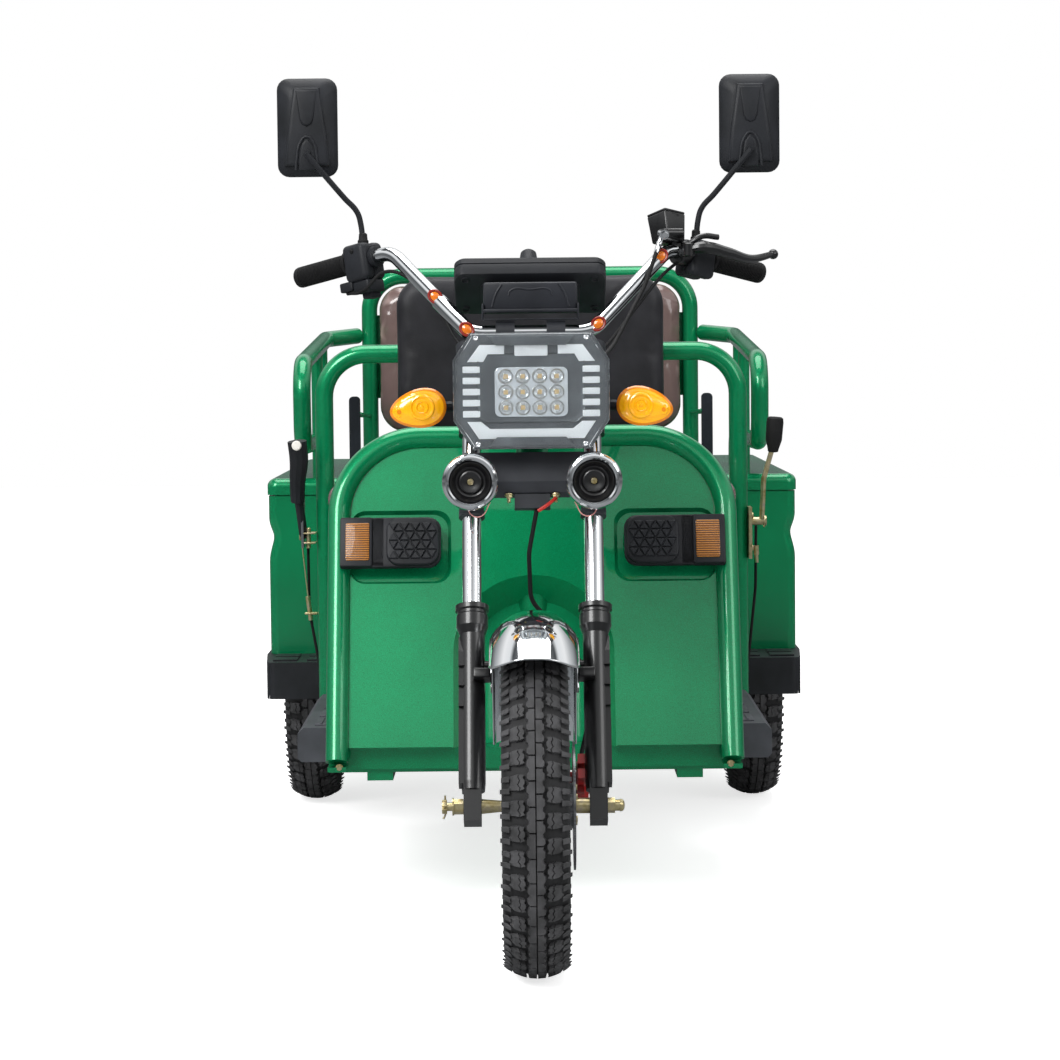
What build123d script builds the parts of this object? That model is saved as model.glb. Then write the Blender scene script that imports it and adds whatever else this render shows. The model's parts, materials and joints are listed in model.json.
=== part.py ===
"""Electric cargo tricycle: one fork-steered front wheel, a driver's bench behind a leg shield,
and a passenger bench between two side boxes that cover the driven rear wheels.

Frame: X to the vehicle's left, -Y forward, +Z up, millimetres, origin on the ground at the
middle of the overall length and width.
"""
import os
from math import atan2, cos, degrees, hypot, radians, sin, tan

from build123d import *

os.makedirs("parts", exist_ok=True)

# ------------------------------------------------------------------ driving sizes
WHEELBASE = 1700.0
FRONT_AXLE_Y = -1035.0
TYRE_OD = 480.0
TYRE_W = 92.0
TYRE_WALL_H = 81.0              # tyre height over the rim
FIT = 0.05                      # radial running fit and clamp fit
SEAT_GAP = 0.3                  # between a soft or curved face and what carries it

RIM_OD = TYRE_OD - 2 * TYRE_WALL_H
AXLE_Z = TYRE_OD / 2
REAR_AXLE_Y = FRONT_AXLE_Y + WHEELBASE

# front fork and steering, heights along the fork from the axle
RAKE = 25.0
FORK_OFFSET = 45.0
FORK_SPACING = 177.0
STANCHION_D = 28.0
SLIDER_D = 37.0
SLIDER_LOW = -24.0
SLIDER_TOP = 298.0
COLLAR_D = 49.0
COLLAR_H = 32.0
LOWER_CLAMP = (492.0, 527.0)
UPPER_CLAMP = (690.0, 712.0)
STEM_D = 30.0
HEAD_TUBE_D = 48.0
FRONT_AXLE_D = 12.0
HUB_W = 84.0
DISC_X = FORK_SPACING / 2 - 34.5
DISC_D = 180.0
DISC_T = 3.0
HALF_SHAFT_D = 25.0
AXLE_TUBE_D = 60.0
GEARCASE_D = 190.0
MOTOR_D = 160.0
BACKPLATE_D = 140.0
LEAF_HALF = 260.0

# front fender
FENDER_R = TYRE_OD / 2 + 35.0
FENDER_W = 121.0
FENDER_T = 2.0
FENDER_CROWN = 26.0
FENDER_SKIRT = 12.0
FENDER_FRONT = 35.0             # degrees ahead of vertical
FENDER_REAR = 76.0              # degrees behind vertical
FENDER_STAY = 209.0             # along the fork

# lamp, horns, signals
LAMP_W = 226.0
LAMP_H = 168.0
LAMP_TOP_CUT = (24.5, 39.0)
LAMP_LOW_CUT = (27.0, 42.0)
LAMP_Z = AXLE_Z + 580.0
LAMP_FRONT_Y = FRONT_AXLE_Y + 140.0
LAMP_DEPTH = 52.0
LAMP_RIM = 16.0
LAMP_WALL = 4.0
LAMP_COVER_T = 3.0
LAMP_RECESS = 16.0
LENS_D = 20.0
LENS_PITCH = (24.5, 22.5)
HORN_D = 82.0
HORN_X = 89.0
HORN_Z = AXLE_Z + 450.0
HORN_FRONT_Y = FRONT_AXLE_Y + 123.0
SIGNAL_X = 165.0
SIGNAL_Z = AXLE_Z + 555.0
SIGNAL_Y = FRONT_AXLE_Y + 195.0
SIGNAL_W = 82.0
SIGNAL_H = 58.0

# handlebar
BAR_D = 22.0
BAR_CLAMP = (0.0, FRONT_AXLE_Y + 335.0, AXLE_Z + 665.0)
BAR_HALF_BASE = 92.0
BAR_SHOULDER = (212.0, FRONT_AXLE_Y + 445.0, AXLE_Z + 790.0)
BAR_END = (360.0, FRONT_AXLE_Y + 570.0, AXLE_Z + 756.0)
BAR_BEND = 42.0
GRIP_D = 33.0
GRIP_L = 112.0
HOUSING_L = 46.0
DASH = (230.0, 96.0)
DASH_T = 34.0
DASH_TILT = 40.0
MIRROR_RISE = 194.0             # mirror's middle over the bar's shoulder
MIRROR_W = 93.0
MIRROR_H = 151.0
MIRROR_X = 341.0
MIRROR_STEM_D = 9.0
HOSE_D = 6.5
CABLE_D = 5.0

# floor, shield and driver's place
FLOOR_Z = AXLE_Z + 28.0
FLOOR_LIP = 34.0
SHEET = 3.0
SKIN = 2.0
HOOP_D = 35.0
HOOP_X = 304.0
HOOP_FOOT = (FRONT_AXLE_Y + 394.0, AXLE_Z + 10.0)
HOOP_TOP = (FRONT_AXLE_Y + 585.0, AXLE_Z + 501.0)
HOOP_BEND = 130.0
FLOOR_HALF_W = HOOP_X + 14.0
FLOOR_FRONT_Y = FRONT_AXLE_Y + 427.0
STEP_FLOOR_Y = REAR_AXLE_Y - 415.0
SHIELD_T = 3.0
SHIELD_FOOT = 22.0
ARCH_HALF = 128.0
ARCH_TOP = 300.0
ARCH_DEPTH = 60.0
ARCH_SLOPE = 26.0
PAD_W = 158.0
PAD_H = 82.0
PAD_UP = 345.0                  # along the shield
PAD_DISH = 7.0
RAIL_X = 240.0
RAIL_W = 40.0
SEAT_TOP = AXLE_Z + 440.0
CUSHION_T = 91.0
BENCH_Y = (-290.0, 0.0)
BENCH_HALF_W = 338.0
SEAT_BASE_HALF = 235.0
BATTERY_HALF = 190.0
BATTERY_H = 180.0
BACK_HOOP_Y = 25.0
BACK_HOOP_X = 361.0
BACK_HOOP_Z = AXLE_Z + 633.0
BACK_PAD = (460.0, 262.0, 58.0)
TUBE_D = 32.0

# chassis
NECK_FOOT_Y = FRONT_AXLE_Y + 530.0
NECK_D = 50.0
RAIL_LOW_Z = (AXLE_Z - 25.0, AXLE_Z + 25.0)
CROSS_W = 40.0
KICK_Y = (STEP_FLOOR_Y, STEP_FLOOR_Y + 80.0)
TOW_Y = REAR_AXLE_Y + 559.0
TOW_Z = (AXLE_Z + 56.0, AXLE_Z + 66.0)
TOW_D = 17.0
GATE_PIN_D = 6.0
GATE_PIN_Y = REAR_AXLE_Y + 594.0
BUMPER_D = 32.0
REAR_END_Y = REAR_AXLE_Y + 610.0

# rear body
DECK_Z = AXLE_Z + 110.0
DECK_RIB = 2.0
GATE_PIN_Z = DECK_Z + 2.0
RAIL_HIGH_Z = (DECK_Z - 53.0, DECK_Z - SHEET)
BOX_IN = 355.0
BOX_OUT = 484.0
BOX_Y = (REAR_AXLE_Y - 380.0, REAR_AXLE_Y + 570.0)
BOX_Z = (AXLE_Z + 83.0, AXLE_Z + 374.0)
BOX_CORNER = 16.0
SWAGE = (40.0, 72.0, 122.0)     # pressed wave's top, deepest line and foot, below the box's top
SWAGE_DEPTH = 8.0
CAP_T = 30.0
LIP_OUT = 6.0                   # arch lip past the box's side
STEP_IN = 6.0                   # black step inside the box's side
STEP_AHEAD = 150.0              # black step ahead of the box
STEP_H = 66.0
STEP_RIB = 3.0
STEP_WALL = 4.0
ARCH_R = TYRE_OD / 2 + 26.0
TRACK = 2 * (BOX_OUT - 56.5)
GATE_Y = (REAR_AXLE_Y + 571.0, REAR_AXLE_Y + 587.0)
REAR_HOOP_X = BOX_IN - 27.0
REAR_HOOP_Y = REAR_AXLE_Y + 280.0
REAR_HOOP_Z = AXLE_Z + 789.0
REAR_PAD_H = 295.0
RAIL_LOOP_X = (BOX_IN + BOX_OUT) / 2 - 7.5
POST_D = 22.0
STAY_W = 21.0

STEER = Location((0, FRONT_AXLE_Y, AXLE_Z), (-RAKE, 0, 0))


# ------------------------------------------------------------------ small makers
def tube(points, bend, diameter):
    """Round bar along straight runs joined by tangent arcs."""
    path = FilletPolyline(*points, radius=bend)
    start = Plane(origin=path @ 0, z_dir=path % 0)
    return sweep(start * Circle(diameter / 2), path=path)


def block(x, y, z):
    """Box from its two ends on each axis, in either order."""
    size = (abs(x[1] - x[0]), abs(y[1] - y[0]), abs(z[1] - z[0]))
    return Pos((x[0] + x[1]) / 2, (y[0] + y[1]) / 2, (z[0] + z[1]) / 2) * Box(*size)


def rod(start, end, diameter):
    """Cylinder between two points."""
    run = Vector(*end) - Vector(*start)
    return extrude(Plane(origin=start, z_dir=run) * Circle(diameter / 2), run.length)


def cross_rod(x, y, z, diameter):
    """Cylinder along X from x[0] to x[1]."""
    return rod((x[0], y, z), (x[1], y, z), diameter)


def prism_x(x, outline):
    """Prism of a (y, z) outline between x[0] and x[1]."""
    face = make_face(Polyline(*[(x[0], y, z) for y, z in outline], close=True))
    return extrude(face, abs(x[1] - x[0]), dir=(1 if x[1] > x[0] else -1, 0, 0))


def both_sides(piece):
    """The piece and its mirror image across the centre plane."""
    return [piece, mirror(piece, about=Plane.YZ)]


def save(name, *pieces):
    """Write one node, whose solids stay separate."""
    solids = []
    for piece in pieces:
        solids += list(piece.solids())
    shape = solids[0] if len(solids) == 1 else Compound(children=solids)
    shape.label = name
    export_step(shape, f"parts/{name}.step")


def steer_point(x, y, z):
    """A point given along the fork, as (x, across, up the fork)."""
    a = radians(RAKE)
    return (x, FRONT_AXLE_Y + y * cos(a) + z * sin(a), AXLE_Z - y * sin(a) + z * cos(a))


# ------------------------------------------------------------------ wheels
def tyre(x_mid, y):
    """Hollow rubber ring with rounded shoulders, open to the rim."""
    half, outer, bead = TYRE_W / 2, TYRE_OD / 2, RIM_OD / 2
    wall = TYRE_WALL_H
    outside = [(half - 12, bead), (half - 2, bead + wall * 0.25), (half, bead + wall * 0.5),
               (half * 0.95, bead + wall * 0.7), (half * 0.78, outer - wall * 0.12),
               (half * 0.42, outer - 2)]
    inside = [(half * 0.5, outer - 13), (half - 13, bead + wall * 0.5), (half - 20, bead)]
    outline = [(-x, r) for x, r in outside] + [(0, outer)] + outside[::-1]
    outline += inside[::-1] + [(-x, r) for x, r in inside]
    face = make_face(Polyline(*outline, close=True))
    return Pos(x_mid, y, AXLE_Z) * revolve(face, axis=Axis.X)


def ring_x(x, outer_d, inner_d):
    """Ring round the X axis."""
    return cross_rod(x, 0, 0, outer_d) - cross_rod(x, 0, 0, inner_d)


def front_rim():
    """Cast rim with five spokes and a hub."""
    half = TYRE_W / 2 - 12
    wheel = cross_rod((-HUB_W / 2, HUB_W / 2), 0, 0, 56) + ring_x((-half, half), RIM_OD, RIM_OD - 26)
    root, tip = Plane.XY.offset(20), Plane.XY.offset(RIM_OD / 2 - 8)
    spoke = loft([root * Rectangle(22, 40), tip * Rectangle(14, 26)])
    for i in range(5):
        wheel += Rot(360 / 5 * i, 0, 0) * spoke
    wheel -= cross_rod((-HUB_W, HUB_W), 0, 0, FRONT_AXLE_D + 2 * FIT)
    return Pos(0, FRONT_AXLE_Y, AXLE_Z) * wheel


def brake_disc():
    """Vented disc on its carrier beside the hub."""
    disc = ring_x((DISC_X - DISC_T / 2, DISC_X + DISC_T / 2), DISC_D, 60)
    for i in range(6):
        disc -= Rot(60 * i, 0, 0) * Pos(DISC_X, 0, DISC_D / 2 - 32) * Rot(0, 90, 0) * Cylinder(9, 12)
    carrier = ring_x((HUB_W / 2, DISC_X + DISC_T / 2), 64, 40)
    return Pos(0, FRONT_AXLE_Y, AXLE_Z) * (disc + carrier)


def rear_rim(side):
    """Pressed steel wheel: rim, dished disc with round holes, and the brake drum behind."""
    half = TYRE_W / 2 - 12
    rim = ring_x((-half, half), RIM_OD, RIM_OD - 12)
    disc = ring_x((-6, 0), RIM_OD - 11, 60)
    for i in range(8):
        disc -= Rot(45 * i, 0, 0) * Pos(0, 0, RIM_OD * 0.352) * Rot(0, 90, 0) * Cylinder(14, 30)
    drum = ring_x((-TYRE_W / 2 - 22, -5), 170, 150) + ring_x((-12, -5), 170, 30)
    hub = ring_x((-30, 22), 62, HALF_SHAFT_D + 2 * FIT)
    wheel = rim + disc + drum + hub
    if side < 0:
        wheel = mirror(wheel, about=Plane.YZ)
    return Pos(side * TRACK / 2, REAR_AXLE_Y, AXLE_Z) * wheel


# ------------------------------------------------------------------ fork
def fork_slider():
    """Cast lower leg: two-step dust collar tapering into the leg, a flat outer flank with
    pocketed front edge, the fender stay boss and the axle lug, bored from the top."""
    x, r = FORK_SPACING / 2, SLIDER_D / 2
    top, collar = SLIDER_TOP, COLLAR_D / 2
    shape = [(0, 22), (r - 1, 22), (r, 34), (r, top - COLLAR_H - 12), (collar - 1.5, top - COLLAR_H),
             (collar - 1.5, top - 15), (collar - 3, top - 13), (collar - 3, top - 9),
             (collar, top - 7), (collar, top), (0, top)]
    turned = make_face(Polyline(*[(a, 0, z) for a, z in shape], close=True))
    leg = Pos(x, 0, 0) * revolve(turned, axis=Axis.Z)
    leg += block((x - 12.5, x + 12.5), (-14, 20), (SLIDER_LOW, 34))
    flank = [(-14, 30), (-11, 22), (14, 22), (14, 222), (6, 250), (-6, 250), (-14, 226)]
    leg += prism_x((x + 4, x + r + 1), flank)
    for low, high in ((184, 205), (154, 175)):
        pocket = Polyline((x + r + 2, -20, low), (x + r + 2, -20, high), (x + 10, -20, high), close=True)
        leg -= extrude(make_face(pocket), 13, dir=(0, 1, 0))
    leg -= block((x + 12, x + r + 2), (-20, -7), (124, 144))
    leg -= block((x + 15, x + r + 2), (-20, 20), (20, 30))
    leg += cross_rod((x - 8, FENDER_W / 2 + 3), 0, FENDER_STAY, 13)
    leg -= Pos(x, 0, 40) * extrude(Circle(STANCHION_D / 2 + FIT), SLIDER_TOP)
    leg = STEER * leg
    return leg - cross_rod((0, 2 * x), FRONT_AXLE_Y, AXLE_Z, FRONT_AXLE_D + 2 * FIT)


def stanchion():
    """Chromed upper leg, from inside the slider to the upper clamp."""
    bar = Pos(FORK_SPACING / 2, 0, 41) * extrude(Circle(STANCHION_D / 2), UPPER_CLAMP[1] - 41)
    return STEER * bar


def clamp_plate(z):
    """Fork clamp: plate joining both leg eyes and the stem."""
    x = FORK_SPACING / 2
    with BuildSketch(Plane.XY.offset(z[0])) as outline:
        with Locations((-x, 0), (x, 0)):
            Circle(STANCHION_D / 2 + 9)
        with Locations((0, FORK_OFFSET)):
            Circle(STEM_D / 2 + 11)
        make_hull()
    return extrude(outline.sketch, z[1] - z[0])


def steering_stem():
    """Lower and upper clamps, the stem between them, and the boxed bar that carries the horns."""
    x, low = FORK_SPACING / 2, LOWER_CLAMP[0]
    back = -STANCHION_D / 2 - 3
    stem = Pos(0, FORK_OFFSET, low) * extrude(Circle(STEM_D / 2), UPPER_CLAMP[1] - low)
    piece = clamp_plate(LOWER_CLAMP) + clamp_plate(UPPER_CLAMP) + stem
    boxed = [(back, low + 32), (back - 19, low + 32), (back - 19, low - 14),
             (back - 12, low - 28), (back, low - 32)]
    piece += prism_x((-x - 10, x + 10), boxed)
    piece += block((-26, 26), (back - 10, back), (low - 52, low - 30))
    for side in (-1, 1):
        piece += block((side * 61, side * 79), (back - 2, 10), LOWER_CLAMP)
        piece += block((side * (x - 18), side * (x + 18)), (back - 3, back), (low - 56, low - 30))
        piece += Pos(side * x, 0, low - 56) * extrude(Circle(STANCHION_D / 2 + 5), 10)
    for side in (-1, 1):
        piece -= Pos(side * x, 0, low - 100) * extrude(Circle(STANCHION_D / 2 + FIT), 400)
    piece = STEER * piece
    y, z = BAR_CLAMP[1], BAR_CLAMP[2]
    for side in (-1, 1):
        piece += rod(steer_point(side * 38, 10, UPPER_CLAMP[1] - 2), (side * 38, y, z), 24)
        piece += cross_rod((side * 38 - 14, side * 38 + 14), y, z, BAR_D + 14)
    return piece - cross_rod((-80, 80), y, z, BAR_D + 2 * FIT)


def head_tube():
    """Bearing tube that the stem turns in."""
    low, high = LOWER_CLAMP[1] + 1, UPPER_CLAMP[0] - 1
    ring = Pos(0, FORK_OFFSET, low) * extrude(Circle(HEAD_TUBE_D / 2), high - low)
    ring -= Pos(0, FORK_OFFSET, low) * extrude(Circle(STEM_D / 2 + FIT), high - low)
    return STEER * ring


def front_axle():
    """Axle with its spacers, castle nut and hex head."""
    x, lug = FORK_SPACING / 2, 12.8
    place = Pos(0, FRONT_AXLE_Y, AXLE_Z)
    side_on = Rot(0, 90, 0)
    axle = place * cross_rod((-x - 38, x + 30), 0, 0, FRONT_AXLE_D)
    axle += place * Pos(-x - 26, 0, 0) * side_on * extrude(RegularPolygon(11, 6), 13)
    axle += place * Pos(x + lug, 0, 0) * side_on * extrude(RegularPolygon(11, 6), 10)
    axle += place * Pos(x + 23, 0, 0) * side_on * extrude(Circle(8), 8)
    cone = loft([Plane.YZ.offset(-x + lug) * Circle(10.5), Plane.YZ.offset(-HUB_W / 2 - 1) * Circle(7.5)])
    axle += place * cone
    return axle + place * cross_rod((DISC_X + 3, x - lug), 0, 0, 22)


def front_fender():
    """Rolled chrome mudguard, crowned across with short skirts, hung on the fork legs' bosses."""
    half, t = FENDER_W / 2, FENDER_T
    low, skirt = FENDER_R - FENDER_CROWN, FENDER_R - FENDER_CROWN - FENDER_SKIRT
    with BuildSketch(Plane.XY) as section:
        with BuildLine():
            Line((-half, skirt), (-half, low))
            ThreePointArc((-half, low), (0, FENDER_R), (half, low))
            Polyline((half, low), (half, skirt), (half - t, skirt), (half - t, low))
            ThreePointArc((half - t, low), (0, FENDER_R - t), (-half + t, low))
            Polyline((-half + t, low), (-half + t, skirt), (-half, skirt))
        make_face()
    arc = revolve(section.sketch, axis=Axis.X, revolution_arc=FENDER_FRONT + FENDER_REAR)
    arc = Pos(0, FRONT_AXLE_Y, AXLE_Z) * Rot(90 - FENDER_REAR, 0, 0) * arc
    for side in (-1, 1):
        stay = (side * (half - 0.5), side * (half + 2.5))
        arc += STEER * block(stay, (-11, 11), (FENDER_STAY - 12, skirt + 8))
    return arc


def brake_caliper():
    """Two-pot caliper over the disc, carried by the left slider."""
    x = FORK_SPACING / 2
    body = block((DISC_X - 18, DISC_X + 15), (34, 104), (18, 78))
    body = chamfer(body.edges().filter_by(Axis.X), 10)
    body -= block((DISC_X - 4.5, DISC_X + 4.5), (20, 94), (0, 90))
    body += block((DISC_X + 6, x - 4), (0, 40), (40, 54)) + block((DISC_X + 6, x - 4), (0, 40), (62, 76))
    body += cross_rod((DISC_X + 10, DISC_X + 22), 78, 48, 30)
    body -= Pos(x, 0, 20) * extrude(Circle(SLIDER_D / 2 + FIT), 80)
    return STEER * (body - block((x - 13, x + 13), (-14.5, 20.5), (0, 34.5)))


# ------------------------------------------------------------------ lamps and horns
def lamp_face(inset, y):
    """Eight-sided lamp outline, drawn in by inset, facing forward at y."""
    w, h = LAMP_W / 2 - inset, LAMP_H / 2 - inset
    (tx, tz), (lx, lz) = LAMP_TOP_CUT, LAMP_LOW_CUT
    corners = [(-w, h - tz), (-w + tx, h), (w - tx, h), (w, h - tz),
               (w, -h + lz), (w - lx, -h), (-w + lx, -h), (-w, -h + lz)]
    return make_face(Polyline(*[(x, y, LAMP_Z + z) for x, z in corners], close=True))


def headlight_housing():
    """Moulded bowl behind an eight-sided rim, with the lamp units standing on its floor."""
    front = LAMP_FRONT_Y + LAMP_COVER_T
    back = LAMP_FRONT_Y + LAMP_DEPTH
    shell = extrude(lamp_face(0, front), LAMP_RIM, dir=(0, 1, 0))
    shell += loft([lamp_face(4, front + LAMP_RIM), lamp_face(34, back)])
    shell -= extrude(lamp_face(LAMP_WALL, front), LAMP_RECESS - LAMP_COVER_T, dir=(0, 1, 0))
    floor = front + LAMP_RECESS - LAMP_COVER_T
    lens_panel = Plane(origin=(0, floor + 1, LAMP_Z), x_dir=(1, 0, 0), z_dir=(0, -1, 0))
    shell += extrude(lens_panel * RectangleRounded(106, 72, 9), 6)
    with BuildSketch(lens_panel.offset(5)) as lenses:
        with GridLocations(*LENS_PITCH, 4, 3):
            Circle(LENS_D / 2)
    shell += extrude(lenses.sketch, 5)
    with BuildSketch(lens_panel) as guides:
        with GridLocations(172, 16, 2, 5):
            Rectangle(25, 9.5)
        with Locations((0, 62)):
            Rectangle(48, 16)
    shell += extrude(guides.sketch, 5)
    return shell + block((-58, 58), (back - 1, back + 24), (LAMP_Z - 40, LAMP_Z + 44))


def headlight_cover():
    """Clear front cover."""
    return extrude(lamp_face(0, LAMP_FRONT_Y), LAMP_COVER_T, dir=(0, 1, 0))


def lamp_bracket():
    """Pressed bracket clamped to both stanchions behind the lamp, with the signals' stalks."""
    x, back = FORK_SPACING / 2, -STANCHION_D / 2
    plate = block((-x - 12, x + 12), (back - 6, back - 2), (560, 668))
    for side in (-1, 1):
        for z in (566, 640):
            plate += Pos(side * x, 0, z) * extrude(Circle(STANCHION_D / 2 + 5), 22)
            plate += block((side * x - 12, side * x + 12), (back - 4, -8), (z, z + 22))
    plate = STEER * plate
    for side in (-1, 1):
        lamp_foot = (side * 40, LAMP_FRONT_Y + LAMP_DEPTH + 10, LAMP_Z + 10)
        signal_foot = (side * (SIGNAL_X - 22), SIGNAL_Y + 10, SIGNAL_Z)
        plate += rod(lamp_foot, steer_point(side * 40, back - 5, 628), 16)
        plate += rod(steer_point(side * x, back - 4, 606), signal_foot, 14)
    for side in (-1, 1):
        plate -= STEER * Pos(side * x, 0, 500) * extrude(Circle(STANCHION_D / 2 + FIT), 200)
    return plate


def horn():
    """Disc horn with a rolled rim, stepped face and centre screw."""
    r = HORN_D / 2
    section = [(0, 6), (5, 6), (5, 8), (15, 8), (16, 12), (28, 12), (31, 3), (r - 5, 0), (r, 5),
               (r, 14), (r - 6, 22), (24, 30), (12, 38), (0, 38)]
    body = revolve(make_face(Polyline(*section, close=True)), axis=Axis.Y)
    body += rod((0, 36, 0), (0, 64, 0), 16)
    return Pos(HORN_X, HORN_FRONT_Y, HORN_Z) * body


def turn_signal():
    """Egg-shaped amber lamp: a rim band and a domed lens in two steps."""
    w, h = SIGNAL_W / 2, SIGNAL_H / 2
    face = Plane(origin=(SIGNAL_X, SIGNAL_Y, SIGNAL_Z), x_dir=(1, 0, 0), z_dir=(0, -1, 0))
    band = extrude(face.offset(-6) * Ellipse(w, h), 12)
    lens = loft([face.offset(6) * Ellipse(w, h), face.offset(14) * Ellipse(w - 7, h - 7)])
    dome = loft([face.offset(14) * Ellipse(w - 7, h - 7), face.offset(18) * Ellipse(w - 20, h - 17)])
    back = loft([face.offset(-6) * Ellipse(w, h), face.offset(-15) * Ellipse(w - 10, h - 9)])
    return band + lens + dome + back


# ------------------------------------------------------------------ handlebar
def bar_point(t, lift=0.0):
    """Point on the left grip's centreline, t back from the bar's end."""
    end, shoulder = Vector(*BAR_END), Vector(*BAR_SHOULDER)
    p = end + (shoulder - end).normalized() * t
    return (p.X, p.Y, p.Z + lift)


def bar_plane(t):
    """Plane across the grip axis, t back from the bar's end, its X axis level and forward."""
    way = Vector(*BAR_SHOULDER) - Vector(*BAR_END)
    return Plane(origin=bar_point(t), x_dir=Vector(0, 0, 1).cross(way), z_dir=way)


def handlebar():
    """High bar: clamped across the middle, up to the shoulders, then back to the grips."""
    half = [(BAR_HALF_BASE, BAR_CLAMP[1], BAR_CLAMP[2]), BAR_SHOULDER, BAR_END]
    left = [(-p[0], p[1], p[2]) for p in reversed(half)]
    return tube(left + half, BAR_BEND, BAR_D)


def grip():
    """Rubber grip with an end flange."""
    piece = rod(bar_point(-4), bar_point(GRIP_L), GRIP_D)
    piece += rod(bar_point(GRIP_L - 6), bar_point(GRIP_L), GRIP_D + 9)
    return piece - rod(bar_point(0), bar_point(GRIP_L + 1), BAR_D + 2 * FIT)


def switch_housing():
    """Two-part control housing next to the grip."""
    section = bar_plane(GRIP_L + 1) * Pos(0, -4) * RectangleRounded(48, 58, 12)
    return chamfer(extrude(section, HOUSING_L).edges().group_by(Axis.Z)[0], 2)


def brake_lever():
    """Lever perch clamped on the left side of the bar, its blade and the fluid reservoir."""
    perch = extrude(bar_plane(GRIP_L + HOUSING_L + 1.5) * RectangleRounded(36, 36, 8), 20)
    mid = Vector(*bar_point(GRIP_L + HOUSING_L + 10))
    pivot = mid + Vector(10, -34, 4)
    perch += rod(mid, pivot, 18)
    tip = Vector(*bar_point(-14)) + Vector(10, -52, 30)
    way = Plane(origin=pivot, z_dir=tip - pivot)
    blade = loft([way * Ellipse(6, 8), way.offset((tip - pivot).length) * Ellipse(4, 6)])
    perch += blade + Pos(tip.X, tip.Y, tip.Z) * Sphere(8)
    tank = Pos(mid.X - 34, mid.Y - 18, mid.Z + 40) * Rot(0, 14, 20) * Box(48, 34, 40)
    perch += tank + rod(mid, (mid.X - 30, mid.Y - 16, mid.Z + 28), 20)
    return perch


def brake_hose():
    """Hydraulic hose: from the reservoir down the bar to behind the lamp, and from under the
    horn bar round the fender to the caliper."""
    mid = Vector(*bar_point(GRIP_L + HOUSING_L + 10))
    back = LAMP_FRONT_Y + LAMP_DEPTH
    over = [(mid.X - 30, mid.Y - 40, mid.Z + 28), (174, BAR_CLAMP[1] + 52, BAR_CLAMP[2] + 69),
            (124, BAR_CLAMP[1] - 32, BAR_CLAMP[2] - 20), (92, back + 12, LAMP_Z + 32),
            (58.6, back + 12, LAMP_Z + 30)]
    along = [(6, -21, LOWER_CLAMP[0] - 53), (-6, 12, 385), (-4, 62, 330), (40, 94, 290),
             (77, 96, 230), (78, 84, 150), (DISC_X + 8, 70, 78)]
    under = [steer_point(*place) for place in along]
    return tube(over, [90, 60, 18], HOSE_D), tube(under, [60, 40, 40, 45, 60], HOSE_D)


def mirror_stem():
    """Bent mirror stem with its foot screwed into the housing."""
    x, y, z = bar_point(GRIP_L + 24)
    rise = BAR_SHOULDER[2] + MIRROR_RISE - MIRROR_H * 0.28 - z
    bends = [(x, y, z + 10), (x + 5, y, z + rise * 0.42), (MIRROR_X + 2, y - 16, z + rise)]
    return tube(bends, 20, MIRROR_STEM_D)


def mirror_head():
    """Moulded mirror shell, rounded at the back, flat towards the rider."""
    y = bar_point(GRIP_L + 24)[1]
    corner = MIRROR_W * 0.19
    centre = (MIRROR_X, y + 4, BAR_SHOULDER[2] + MIRROR_RISE)
    face = Plane(origin=centre, x_dir=(1, 0, 0), z_dir=(0, -1, 0))
    shell = extrude(face * RectangleRounded(MIRROR_W, MIRROR_H, corner), 14)
    shell += loft([face.offset(14) * RectangleRounded(MIRROR_W, MIRROR_H, corner),
                   face.offset(30) * RectangleRounded(MIRROR_W * 0.5, MIRROR_H * 0.64, corner * 0.7)])
    foot = Pos(0, -MIRROR_H * 0.34)
    socket = RectangleRounded(MIRROR_W * 0.4, MIRROR_H * 0.28, corner)
    nose = RectangleRounded(MIRROR_W * 0.24, MIRROR_H * 0.2, corner * 0.6)
    return shell + loft([face.offset(14) * foot * socket, face.offset(33) * foot * nose])


def dash_pod():
    """Instrument pod tilted to the rider, on its stepped bracket above the bar clamps."""
    y, z = BAR_CLAMP[1], BAR_CLAMP[2]
    shelf = z + BAR_D / 2 + 7 + SEAT_GAP
    pod = Pos(0, y + 60, z + 58) * Rot(-DASH_TILT, 0, 0) * extrude(RectangleRounded(*DASH, 16), DASH_T)
    pod += block((-73, 73), (y - 16, y + 44), (shelf, z + 46))
    return pod + block((-61, 61), (y - 6, y + 50), (z + 40, z + 78))


# ------------------------------------------------------------------ frame
def frame_rail():
    """Side member: low under the floor pan, kicked up over the rear axle."""
    low, high, kick = RAIL_LOW_Z, RAIL_HIGH_Z, KICK_Y
    start, end = FLOOR_FRONT_Y + 8, REAR_AXLE_Y + 535
    side = [(start, low[0]), (kick[0], low[0]), (kick[1], high[0]), (end, high[0]),
            (end, high[1]), (kick[1] - 12, high[1]), (kick[0] - 12, low[1]), (start, low[1])]
    return prism_x((RAIL_X - RAIL_W / 2, RAIL_X + RAIL_W / 2), side)


def gate_knuckle(x, y):
    """Hinge knuckle with a flat strap to what carries it."""
    knuckle = cross_rod(x, GATE_PIN_Y, GATE_PIN_Z, GATE_PIN_D + 6)
    return knuckle + block(x, y, (GATE_PIN_Z - 19, GATE_PIN_Z - 5.5))


def cross_member(y, half, z):
    """Square cross member centred on y."""
    return block((-half, half), (y - CROSS_W / 2, y + CROSS_W / 2), z)


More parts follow.
